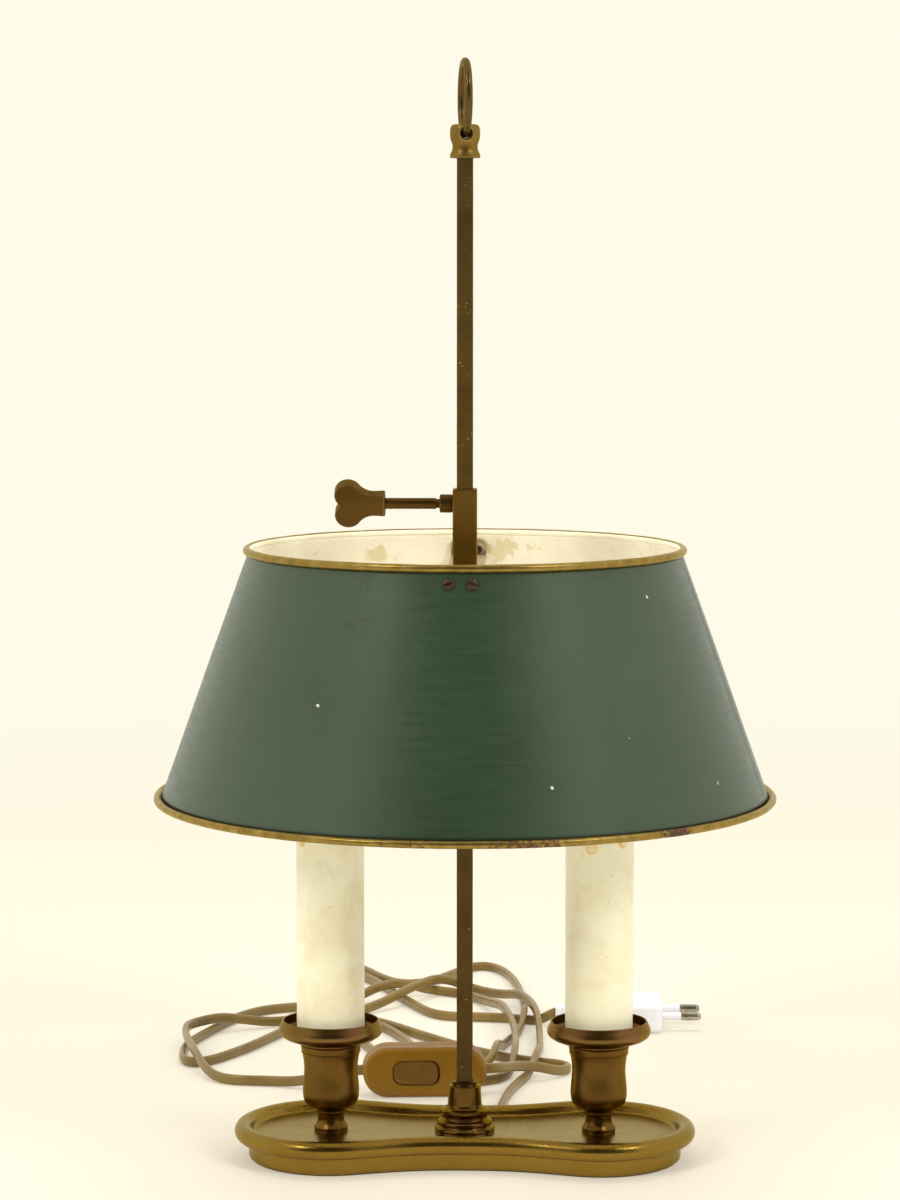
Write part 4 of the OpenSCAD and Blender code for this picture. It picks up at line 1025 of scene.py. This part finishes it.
# runs of wax: angle, length and half width
RIGHT_RUNS = [(-105, 18.5, 2.4), (-48, 16.6, 2.2), (-81, 13.2, 1.5), (-168, 16.5, 1.8), (-10, 14.2, 1.6),
              (60, 9, 1.5), (140, 14, 1.8)]
LEFT_RUNS = [(-142, 17.0, 2.0), (-158, 10, 1.5), (-20, 8, 1.4), (70, 13, 1.8)]
for side, s, runs, seed in (("left", -1, LEFT_RUNS, 2.3), ("right", 1, RIGHT_RUNS, 8.1)):
    cx = s * C
    o = revolve(side + "_cup_body", cup_prof, 112, cx)
    piece(weigh(o), "stand", BR_CUP, side + "_cup")
    o = revolve(side + "_pan_body", pan_prof, 128, cx, closed=True)
    piece(weigh(wobble(o, 0.10, 16, 5 + s)), "stand", BR_PAN, side + "_drip_pan")
    o = candle_body(side + "_candle_body", cx, runs, seed)
    piece(o, "stand", CANDLE, side + "_candle")
    o = revolve(side + "_holder_body", holder_prof, 80, cx)
    piece(weigh(o), "stand", HOLDER, side + "_lampholder")
    o = revolve(side + "_bulb_body", bulb_prof, 96, cx)
    piece(o, "stand", MILK, side + "_bulb_glass")
    piece(screw_cap(side + "_cap_body", cx), "stand", CAPAL, side + "_bulb_cap")


# ------------------------------------------------------------------ shade
def shade_shell():
    """a cone of sheet, slightly out of true, outside then inside, with a lapped seam down the right side"""
    def ring(off, z):
        f = math.sin(math.pi * min(1, max(0, (z - SH_ZB) / SH_H)))

        def rz(a):
            w = noise.noise(Vector((math.cos(a) * 2.2, math.sin(a) * 2.2, z * 0.012)))
            w2 = noise.noise(Vector((math.cos(a) * 9, math.sin(a) * 9, z * 0.05 + 5)))
            r = cone_r(z) - off + f * (0.28 * w + 0.07 * w2)
            if off == 0:
                q = max(-30.0, min(30.0, (math.degrees(a) - SEAM + 180) % 360 - 180))
                lap = 0.45 * (1 / (1 + math.exp(-(q + 2.2) * 9))) * (1 / (1 + math.exp((q - 1.6) * 2.2)))
                r += lap * f ** 0.15 * 0.8
            return r, z
        return ring_of(360, rz)

    zs = np.linspace(SH_ZB, SH_ZT, 44)
    ob = loft("shade_body", [ring(0.0, z) for z in zs] + [ring(SHEET, z) for z in zs[::-1]], closed=True)
    ob.data.materials.append(GREEN)
    ob.data.materials.append(CREAM)
    for p in ob.data.polygons:
        c = p.center * 1000
        inner = math.hypot(c.x, c.y) < cone_r(c.z) - 0.30
        p.material_index = 1 if inner and p.normal.x * c.x + p.normal.y * c.y < 0 else 0
    return ob


piece(shade_shell(), "carriage", None, "shade_shell")


def make_bead_tree():
    """a round bead on a rim, pushed about by soft dents"""
    t = Tree("bead_round_a_rim", rim_radius="Float", bead_radius="Float", height="Float", unevenness="Float",
             seed="Int", finish="Material")
    g = t.given
    rim = t.moved(t.circle(360, g["rim_radius"]), Offset=t.xyz(0.0, 0.0, g["height"]))
    roll = t.wire("GeometryNodeCurveToMesh", Curve=rim, Profile_Curve=t.circle(20, g["bead_radius"]))
    where = t.vector("ADD", i0=t.wire("GeometryNodeInputPosition"), i1=t.xyz(g["seed"], 0.0, 0.0))
    dents = t.node("ShaderNodeTexNoise", Vector=where, Scale=60.0, Detail=2.0).outputs["Color"]
    dents = t.vector("SUBTRACT", i0=dents, i1=(0.5, 0.5, 0.5))
    return t.close(t.moved(roll, Offset=t.vector("SCALE", i0=dents, Scale=g["unevenness"])))


BEAD_TREE = make_bead_tree()


def bead(name, rim_r, bead_r, z, seed, mat):
    ob = grow(add_mesh(name, [(0, 0, 0)], []), BEAD_TREE, rim_radius=rim_r * MM, bead_radius=bead_r * MM,
              height=z * MM, unevenness=0.35 * MM, seed=seed, finish=mat)
    return shade(outward(ob), 60)


top_bead = bead("shade_top_bead", SH_RT + 0.7, 1.65, SH_ZT, 3, GILT_TOP)
piece(top_bead, "carriage", None, "shade_top_rim")
low_bead = bead("shade_bottom_bead", SH_RB + 1.6, 1.5, SH_ZB, 8, GILT_BOTTOM)
lip = revolve("lip", fillet([(123.4, 150.5, 0.2), (126.4, 150.5, 0.2), (126.4, 152.4, 0.4),
                             (124.7, 152.4, 0.3), (124.55, 151.5),
                             (123.4, 151.5, 0.2)], 3, closed=True), 300, closed=True)
low_bead = join("shade_bottom_bead_lip", [low_bead, lip])
low_bead.name = "shade_bottom_bead"
piece(shade(low_bead, 50), "carriage", GILT_BOTTOM, "shade_bottom_rim")


# ------------------------------------------------------------------ strip across the shade
def ribbon():
    """a flat strip from front to back, its ends turned up along the cone and rounded"""
    th, half_w, corner = 1.2, 7.75, 3.2
    z0 = STRIP_TOP - th / 2
    y_tab = cone_r(STRIP_TOP) - SHEET - th / 2 - 0.42 - 0.3
    half = fillet([(0, z0), (y_tab, z0, 1.6), (y_tab - FALL * 7.2, z0 + 7.3)], 6)
    d = np.array([(-y, z) for y, z in half[::-1]] + half[1:])
    cum = np.r_[0, np.cumsum(np.linalg.norm(np.diff(d, axis=0), axis=1))]
    # more rings towards the ends, so that their corners can be round
    s = np.unique(np.r_[np.linspace(0, 9, 28), np.linspace(9, cum[-1] - 9, 90),
                        np.linspace(cum[-1] - 9, cum[-1], 28)])
    pts = np.stack([np.interp(s, cum, d[:, 0]), np.interp(s, cum, d[:, 1])], 1)
    tan = np.gradient(pts, axis=0)
    tan /= np.linalg.norm(tan, axis=1)[:, None]
    rings = []
    for at, (y, z), (ty, tz) in zip(s, pts, tan):
        e = min(at, cum[-1] - at)
        w = half_w
        if e < corner:
            w += math.sqrt(max(0.02, corner ** 2 - (corner - e) ** 2)) - corner
        edge = [(w, th / 2, 0.25), (-w, th / 2, 0.25), (-w, -th / 2, 0.25), (w, -th / 2, 0.25)]
        rings.append([(a, y - tz * b, z + ty * b) for a, b in fillet(edge, 2, closed=True)])
    ob = cut(loft("strip_body", rings), box(6.8, 6.8, 12, STRIP_TOP))
    return shade(wobble(ob, 0.06, 20, 1))


piece(weigh(ribbon()), "carriage", BR_STRIP, "shade_bracket")


# ------------------------------------------------------------------ sleeve
def sleeve():
    """a square tube with softened mouths; half width, corner radius and height of each ring"""
    z0, z1 = STRIP_TOP, STRIP_TOP + 34.4
    steps = [(3.4, 0.3, z0), (4.6, 0.3, z0), (4.88, 0.36, z0 + 0.12), (4.95, 0.4, z0 + 0.4)]
    steps += [(4.95, 0.4, z) for z in np.linspace(z0 + 1, z1 - 1, 40)]
    steps += [(4.95, 0.4, z1 - 0.4), (4.88, 0.36, z1 - 0.12), (4.65, 0.3, z1), (3.6, 0.3, z1),
              (3.42, 0.3, z1 - 0.15), (3.4, 0.3, z1 - 0.4)]
    ob = loft("sleeve_body", [[(x, y, z) for x, y in rounded(h, h, rad, 5)] for h, rad, z in steps],
              closed=True)
    return wobble(ob, 0.035, 9, 6)


piece(weigh(sleeve()), "carriage", BR_SLEEVE, "sleeve")

# ------------------------------------------------------------------ thumbscrew, drawn along -X at its height
TO_KEY = shift(0, 0, KEY_Z) @ turn(-90, "Y")
collar = revolve("collar_body", fillet([
    (2.05, 4.95), (3.6, 4.95, 0.1), (3.62, 5.5, 0.1), (3.75, 5.7, 0.15), (3.75, 9.9, 0.35), (3.35, 10.3, 0.2),
    (2.25, 10.3, 0.2), (2.0, 10.1), (2.0, 5.2)], 4, closed=True), 72, closed=True)
piece(weigh(move(collar, TO_KEY)), "carriage", BR_KEY, "key_collar")

shoe = revolve("shoe_body", fillet([(0, 3.35), (1.9, 3.35, 0.12), (1.9, 4.35, 0.1), (0, 4.35)], 3), 48)
piece(move(shoe, TO_KEY), "shoe", STEM, "pressure_shoe")


def key_shaft():
    """threaded end, neck and round shaft"""
    def ring(r, z, thread=0.0):
        return ring_of(64, lambda a: (r - thread * (0.5 + 0.5 * math.sin((z / 0.55 - a / TAU) * TAU)), z))
    rings = [ring(1.4, 4.35), ring(1.85, 4.7)]
    rings += [ring(1.95, z, 0.16) for z in np.linspace(4.9, 11.0, 78)]
    rings += [ring(1.8, 11.2), ring(1.8, 11.6), ring(2.05, 11.72), ring(2.2, 11.85), ring(2.25, 12.1)]
    rings += [ring(2.25 + 0.02 * math.sin(z * 1.7), z) for z in np.linspace(12.6, 31.9, 34)]
    return loft("key_shaft_body", rings + [ring(2.28, 32.2), ring(2.3, 32.5)])


piece(weigh(move(key_shaft(), TO_KEY)), "key", BR_KEY, "key_shaft")


def heart():
    """plan in (distance from the column, height), with rounded rims"""
    lobe_x, lobe_z, lobe_r = 47.7, 4.6, 5.5
    fx, fz = 37.0, 12.2  # middle of the flank's hollow
    fr = math.hypot(lobe_x - fx, fz - lobe_z) - lobe_r
    meet = math.degrees(math.atan2(fz - lobe_z, fx - lobe_x))
    notch = math.degrees(math.asin(lobe_z / lobe_r))
    half = arc(lobe_x, lobe_z, lobe_r, -notch, meet, 34)
    half += arc(fx, fz, fr, meet - 180, -90, 12)[1:]
    half += fillet([(36.9, fz - fr), (32.9, 4.85, 0.7), (32.5, 4.4, 0.3), (32.5, 0)], 4)[1:]
    p = np.array(half + [(x, -z) for x, z in half[-2:0:-1]])
    t = np.roll(p, -1, 0) - np.roll(p, 1, 0)
    t /= np.linalg.norm(t, axis=1)[:, None]
    nrm = np.stack([t[:, 1], -t[:, 0]], 1)  # the plan runs anticlockwise, so this points away from its middle
    prof = [(1.1, -2.62), (0.62, -2.7), (0.3, -2.6), (0.09, -2.36), (0.0, -2.0), (0.0, 2.0), (0.09, 2.36),
            (0.3, 2.6),
            (0.62, 2.7), (1.1, 2.62)]
    return loft("key_head_body", [[(-x, y, z) for x, z in p - nrm * inset] for inset, y in prof])


hd = move(wobble(heart(), 0.06, 6, 4), shift(0, 0, KEY_Z) @ turn(26, "X"))
piece(weigh(hd), "key", BR_KEY, "key_head")


# ------------------------------------------------------------------ screws in the shade
def make_screw_tree():
    """two screws each at the front and the back, a half gap either side of the middle, slots turned at random"""
    t = Tree("screws_round_a_cone", radius="Float", height="Float", lean="Float", half_gap="Float", seed="Int",
             finish="Material")
    g = t.given
    no = t.wire("GeometryNodeInputIndex")
    back = t.math("FLOOR", t.math("DIVIDE", no, 2.0))
    side_sign = t.sub(t.mul(t.math("MODULO", no, 2.0), 2.0), 1.0)
    around = t.add(t.sub(t.mul(back, math.pi), math.pi / 2), t.mul(side_sign, g["half_gap"]))
    at = t.xyz(t.mul(t.math("COSINE", around), g["radius"]), t.mul(t.math("SINE", around), g["radius"]),
               g["height"])
    spots = t.moved(t.wire("GeometryNodePoints", Count=4, Radius=0.001), Position=at)
    put = t.wire("GeometryNodeInstanceOnPoints", Points=spots, Instance=g["Geometry"],
                 Rotation=t.xyz(0.0, g["lean"], around))
    slot = t.node("FunctionNodeRandomValue", {"data_type": "FLOAT"}, i2=0.0, i3=math.pi,
                  Seed=g["seed"]).outputs[1]
    return t.close(t.wire("GeometryNodeRotateInstances", Instances=put, Rotation=t.xyz(0.0, 0.0, slot)))


screw_z = STRIP_TOP + 3.6
sc = revolve("shade_screw_heads", fillet([(0, -5.2), (1.5, -5.2, 0.3), (1.5, 0.0), (2.5, 0.0, 0.1),
                                          (2.5, 0.5, 0.25),
                                          (2.2, 0.95, 0.4), (1.5, 1.22, 0.5), (0, 1.3)], 4), 40)
shade(cut(sc, box(7, 0.62, 1.6, 1.4)))
grow(sc, make_screw_tree(), radius=cone_r(screw_z) * MM, height=screw_z * MM,
     lean=math.pi / 2 - math.atan(FALL),
     half_gap=math.asin(4.5 / cone_r(screw_z)), seed=11, finish=SCREW)
piece(sc, "carriage", None, "shade_screws")

# ------------------------------------------------------------------ hand switch
TO_SW = shift(*SW_AT) @ turn(SW_YAW, "Z")


def stadium(inset, y, n=26):
    """a straight-sided ring with round ends"""
    r = SW_R - inset
    return [(s * SW_C + s * r * math.cos(a), y, s * r * math.sin(a))
            for s in (1, -1) for a in np.linspace(-math.pi / 2, math.pi / 2, n)]


def shell(name, sign):
    e = 2.6  # rounding of the face's edge
    steps = [(3.4, 0.3), (0.5, 0.05), (0.18, 0.10), (0.02, 0.30), (0.0, 0.6)]
    steps += [(0.0, y) for y in (1.5, 3, 4.5, SW_HALF - e)]
    steps += [(e * (1 - math.cos(a)), SW_HALF - e + e * math.sin(a)) for a in np.linspace(0.15, math.pi / 2,
                                                                                          10)]
    steps += [(4.0, SW_HALF + 0.02), (7.5, SW_HALF + 0.05)]
    return loft(name, [stadium(inset, sign * y) for inset, y in steps])


front = shell("switch_front_body", -1)
opening = rounded(10.3, 5.4, 4.2, 7)
cut(front, loft("tool", [[(ROCKER_X + x, y, z) for x, z in opening] for y in (-12, -4.0)]))
move(soften(front, 0.5, 50, 4), TO_SW)
piece(weigh(front), "stand", SWITCH, "switch_front_shell")
rear = shell("switch_rear_body", 1)
for x, z in ((-SW_C - 3.2, 5.6), (SW_C + 1.5, -5.6)):
    tool = revolve("tool", [(0, 0), (2.3, 0), (2.3, 4), (0, 4)], 32)
    cut(rear, move(tool, shift(x, SW_HALF - 1.4, z) @ turn(-90, "X")))
move(soften(rear, 0.25, 50, 3), TO_SW)
piece(weigh(rear), "stand", SWITCH, "switch_rear_shell")


def rocker():
    """a cap with a face hollowed along its length, on its pivot pin"""
    face = -(SW_HALF + 0.95) - PIVOT_Y

    def hollow(x):
        return 0.42 - 0.42 * (abs(x) / 10) ** 2

    rings = []
    for inset, y in [(0.0, 1.2), (0.0, face + 1.25), (0.07, face + 0.80), (0.26, face + 0.42),
                     (0.58, face + 0.14),
                     (1.0, face), (1.45, face)]:
        rings.append([(x, y + hollow(x) if y < face + 1.2 else y, z)
                      for x, z in rounded(10.0 - inset, 5.25 - inset, max(0.6, 4.1 - inset), 7)])
    for k in (0.7, 0.4, 0.12):
        rings.append([(x * k, face + hollow(x * k), z * k) for x, z in rounded(8.6, 3.85, 2.7, 7)])
    pin = revolve("pin", fillet([(0, -7.8), (1.2, -7.8, 0.2), (1.2, 7.8, 0.2), (0, 7.8)], 3), 32)
    ob = join("rocker_piece", [loft("rocker_body", rings), pin])
    return shade(move(ob, TO_SW @ shift(ROCKER_X, PIVOT_Y, 0) @ turn(-5, "Z")), 40)


piece(rocker(), "rocker", ROCKER, "switch_rocker")


# ------------------------------------------------------------------ plug
def plug():
    """rings of half width, half height and corner radius, from the ribbed sleeve to the face"""
    steps = [(-51, 3.1, 3.3, 1.6), (-50.6, 3.4, 3.5, 1.8)]
    for i in range(6):
        x, g, h = -49.6 + i * 2.3, i * 0.14, i * 0.14 * 0.8
        steps += [(x, 3.7 + g, 3.7 + h, 2.2), (x + 1.2, 3.7 + g, 3.7 + h, 2.2),
                  (x + 1.45, 3.3 + g, 3.3 + h, 2.0),
                  (x + 2.05, 3.3 + g, 3.3 + h, 2.0)]
    steps += [(x, hy, hz, 2.6) for x, hy, hz in (
        (-35.8, 6.4, 4.9), (-34.8, 7.4, 5.3), (-31.5, 9.4, 6.2), (-27, 12.4, 6.75), (-21, 15.9, 6.85),
        (-15.2, 17.5, 6.85), (-8, 17.6, 6.85), (-3.4, 17.4, 6.85), (-1.2, 16.2, 6.7), (-0.3, 15.2, 6.3),
        (0, 14.4, 5.8))]
    rings = [[(PX + x, PY + y, PH + z) for y, z in rounded(hy, hz, min(rad, hy * 0.95, hz * 0.95), 6)]
             for x, hy, hz, rad in steps]
    return shade(loft("plug_shell", rings), 45)


pg = plug()
piece(weigh(pg), "stand", PLUGW, "plug_body")
parts = []
for s in (-1, 1):
    p = revolve("p", fillet([(0, 0), (1.98, 0), (1.98, 8.9, 0.05), (1.9, 9.0, 0.05), (1.9, 9.3, 0.05),
                             (2.0, 9.4, 0.05),
                             (2.0, 17.2, 0.6), (1.4, 18.7, 0.6), (0, 19.0)], 4), 40)
    move(p, shift(PX, PY + s * 9.3, PH) @ turn(90, "Y"))
    # insulated root and bare end
    p.data.materials.append(PLUGW)
    p.data.materials.append(PINS)
    for q in p.data.polygons:
        q.material_index = 1 if q.center.x * 1000 > PX + 9.15 else 0
    parts.append(p)
pins = shade(join("plug_pin_pair", parts), 40)
piece(pins, "stand", None, "plug_pins")

# ------------------------------------------------------------------ CAD nodes that stay, with their finishes
keep = {"rod_washer": STEEL, "rod_nut": STEEL, "stem_nuts": STEEL, "left_stem": STEM, "right_stem": STEM,
        "cord_gland": RUBBER, "joint_block": BLOCK, "lamp_leads": BLOCK, "switch_screws": STEEL,
        "shade_nuts": NUT}
for name, mat in keep.items():
    o = frame["nodes"][name]
    o.data.materials.clear()
    o.data.materials.append(mat)


# ------------------------------------------------------------------ stage
PALE = (0.991, 0.965, 0.807)


def stage_material():
    """cream paper: near the lamp it takes light and shadow, and its glow is painted darker towards the front as
    painted shade; farther off it fades into the pale backdrop
    """
    n = Look("stage_cream")
    n.t.nodes.remove(n.bsdf)
    x, y, z = n.xyz()
    # the glow is painted darker towards the front, as painted shade
    glow_shaded_in_front = n.ramp(n.add(y, 0.4), [(0.0, (0.285, 0.235, 0.190)), (0.25, (0.315, 0.265, 0.222)),
                                  (0.50, (0.350, 0.312, 0.262)), (1.0, (0.360, 0.325, 0.272))])
    near = n.wire("ShaderNodeAddShader", i0=n.wire("ShaderNodeEmission", i0=glow_shaded_in_front),
                  i1=n.wire("ShaderNodeBsdfDiffuse", i0=(0.478, 0.465, 0.395, 1)))
    far = n.wire("ShaderNodeEmission", i0=(*PALE, 1))
    fade = n.wire("ShaderNodeMixShader", i0=n.span(n.reach(x, y), 0.45, 1.6), i1=near, i2=far)
    n.t.links.new(fade, n.end)
    return n.mat


lines = [-14, -7, -3, -1, 0, 1, 3, 7, 14]
verts = [(x, y, -0.0002) for y in lines for x in lines]
faces = [(9 * j + i, 9 * j + i + 1, 9 * j + i + 10, 9 * j + i + 9) for j in range(8) for i in range(8)]
stage = add_mesh("stage_floor", verts, faces, 1.0)
stage.data.materials.append(stage_material())


def area(name, loc, height, size, power, col):
    """a soft light that looks at the column at a height"""
    lamp = bpy.data.lights.new(name, "AREA")
    lamp.shape = "RECTANGLE"
    lamp.size, lamp.size_y = size
    lamp.energy = power
    lamp.color = col
    o = add_object(name, lamp)
    o.location = loc
    o.rotation_euler = (Vector((0, 0, height)) - Vector(loc)).to_track_quat("-Z", "Y").to_euler()
    return o


for name, loc, size, power in (("soft_left", (-1.3, -1.5, 1.3), (0.6, 0.8), 27),
                               ("soft_right", (1.3, -1.4, 1.3), (0.6, 0.8), 26),
                               ("overhead", (0.0, 0.2, 2.4), (1.8, 1.4), 23)):
    area(name, loc, 0.15, size, power, (1, 0.975, 0.93)).visible_glossy = False
# small lamps that only draw the glints on the metal
for name, loc in (("glint_left", (-1.1, -1.0, 1.7)), ("glint_right", (1.2, -0.9, 1.8))):
    area(name, loc, 0.1, (0.35, 0.2), 5.5, (1, 0.98, 0.95)).visible_diffuse = False

# a pale room: brighter behind the viewer's back than in front of it, and plain where it is seen
world = bpy.data.worlds.new("soft_room")
scene.world = world
world.use_nodes = True
world.node_tree.nodes.clear()
w = Graph(world.node_tree)
x, y, z = w.node("ShaderNodeSeparateXYZ", i0=w.node("ShaderNodeTexCoord").outputs["Generated"]).outputs
toward = w.math("DIVIDE", w.mul(y, -1.0), w.add(w.reach(x, y), 0.12))
room = w.wire("ShaderNodeBackground", i0=(1.0, 0.965, 0.87, 1), i1=w.span(toward, 0.45, 0.85, 1.0, 0.06))
seen = w.wire("ShaderNodeBackground", i0=(*PALE, 1))
ray = w.node("ShaderNodeLightPath").outputs["Is Camera Ray"]
w.node("ShaderNodeOutputWorld", i0=w.wire("ShaderNodeMixShader", i0=ray, i1=room, i2=seen))
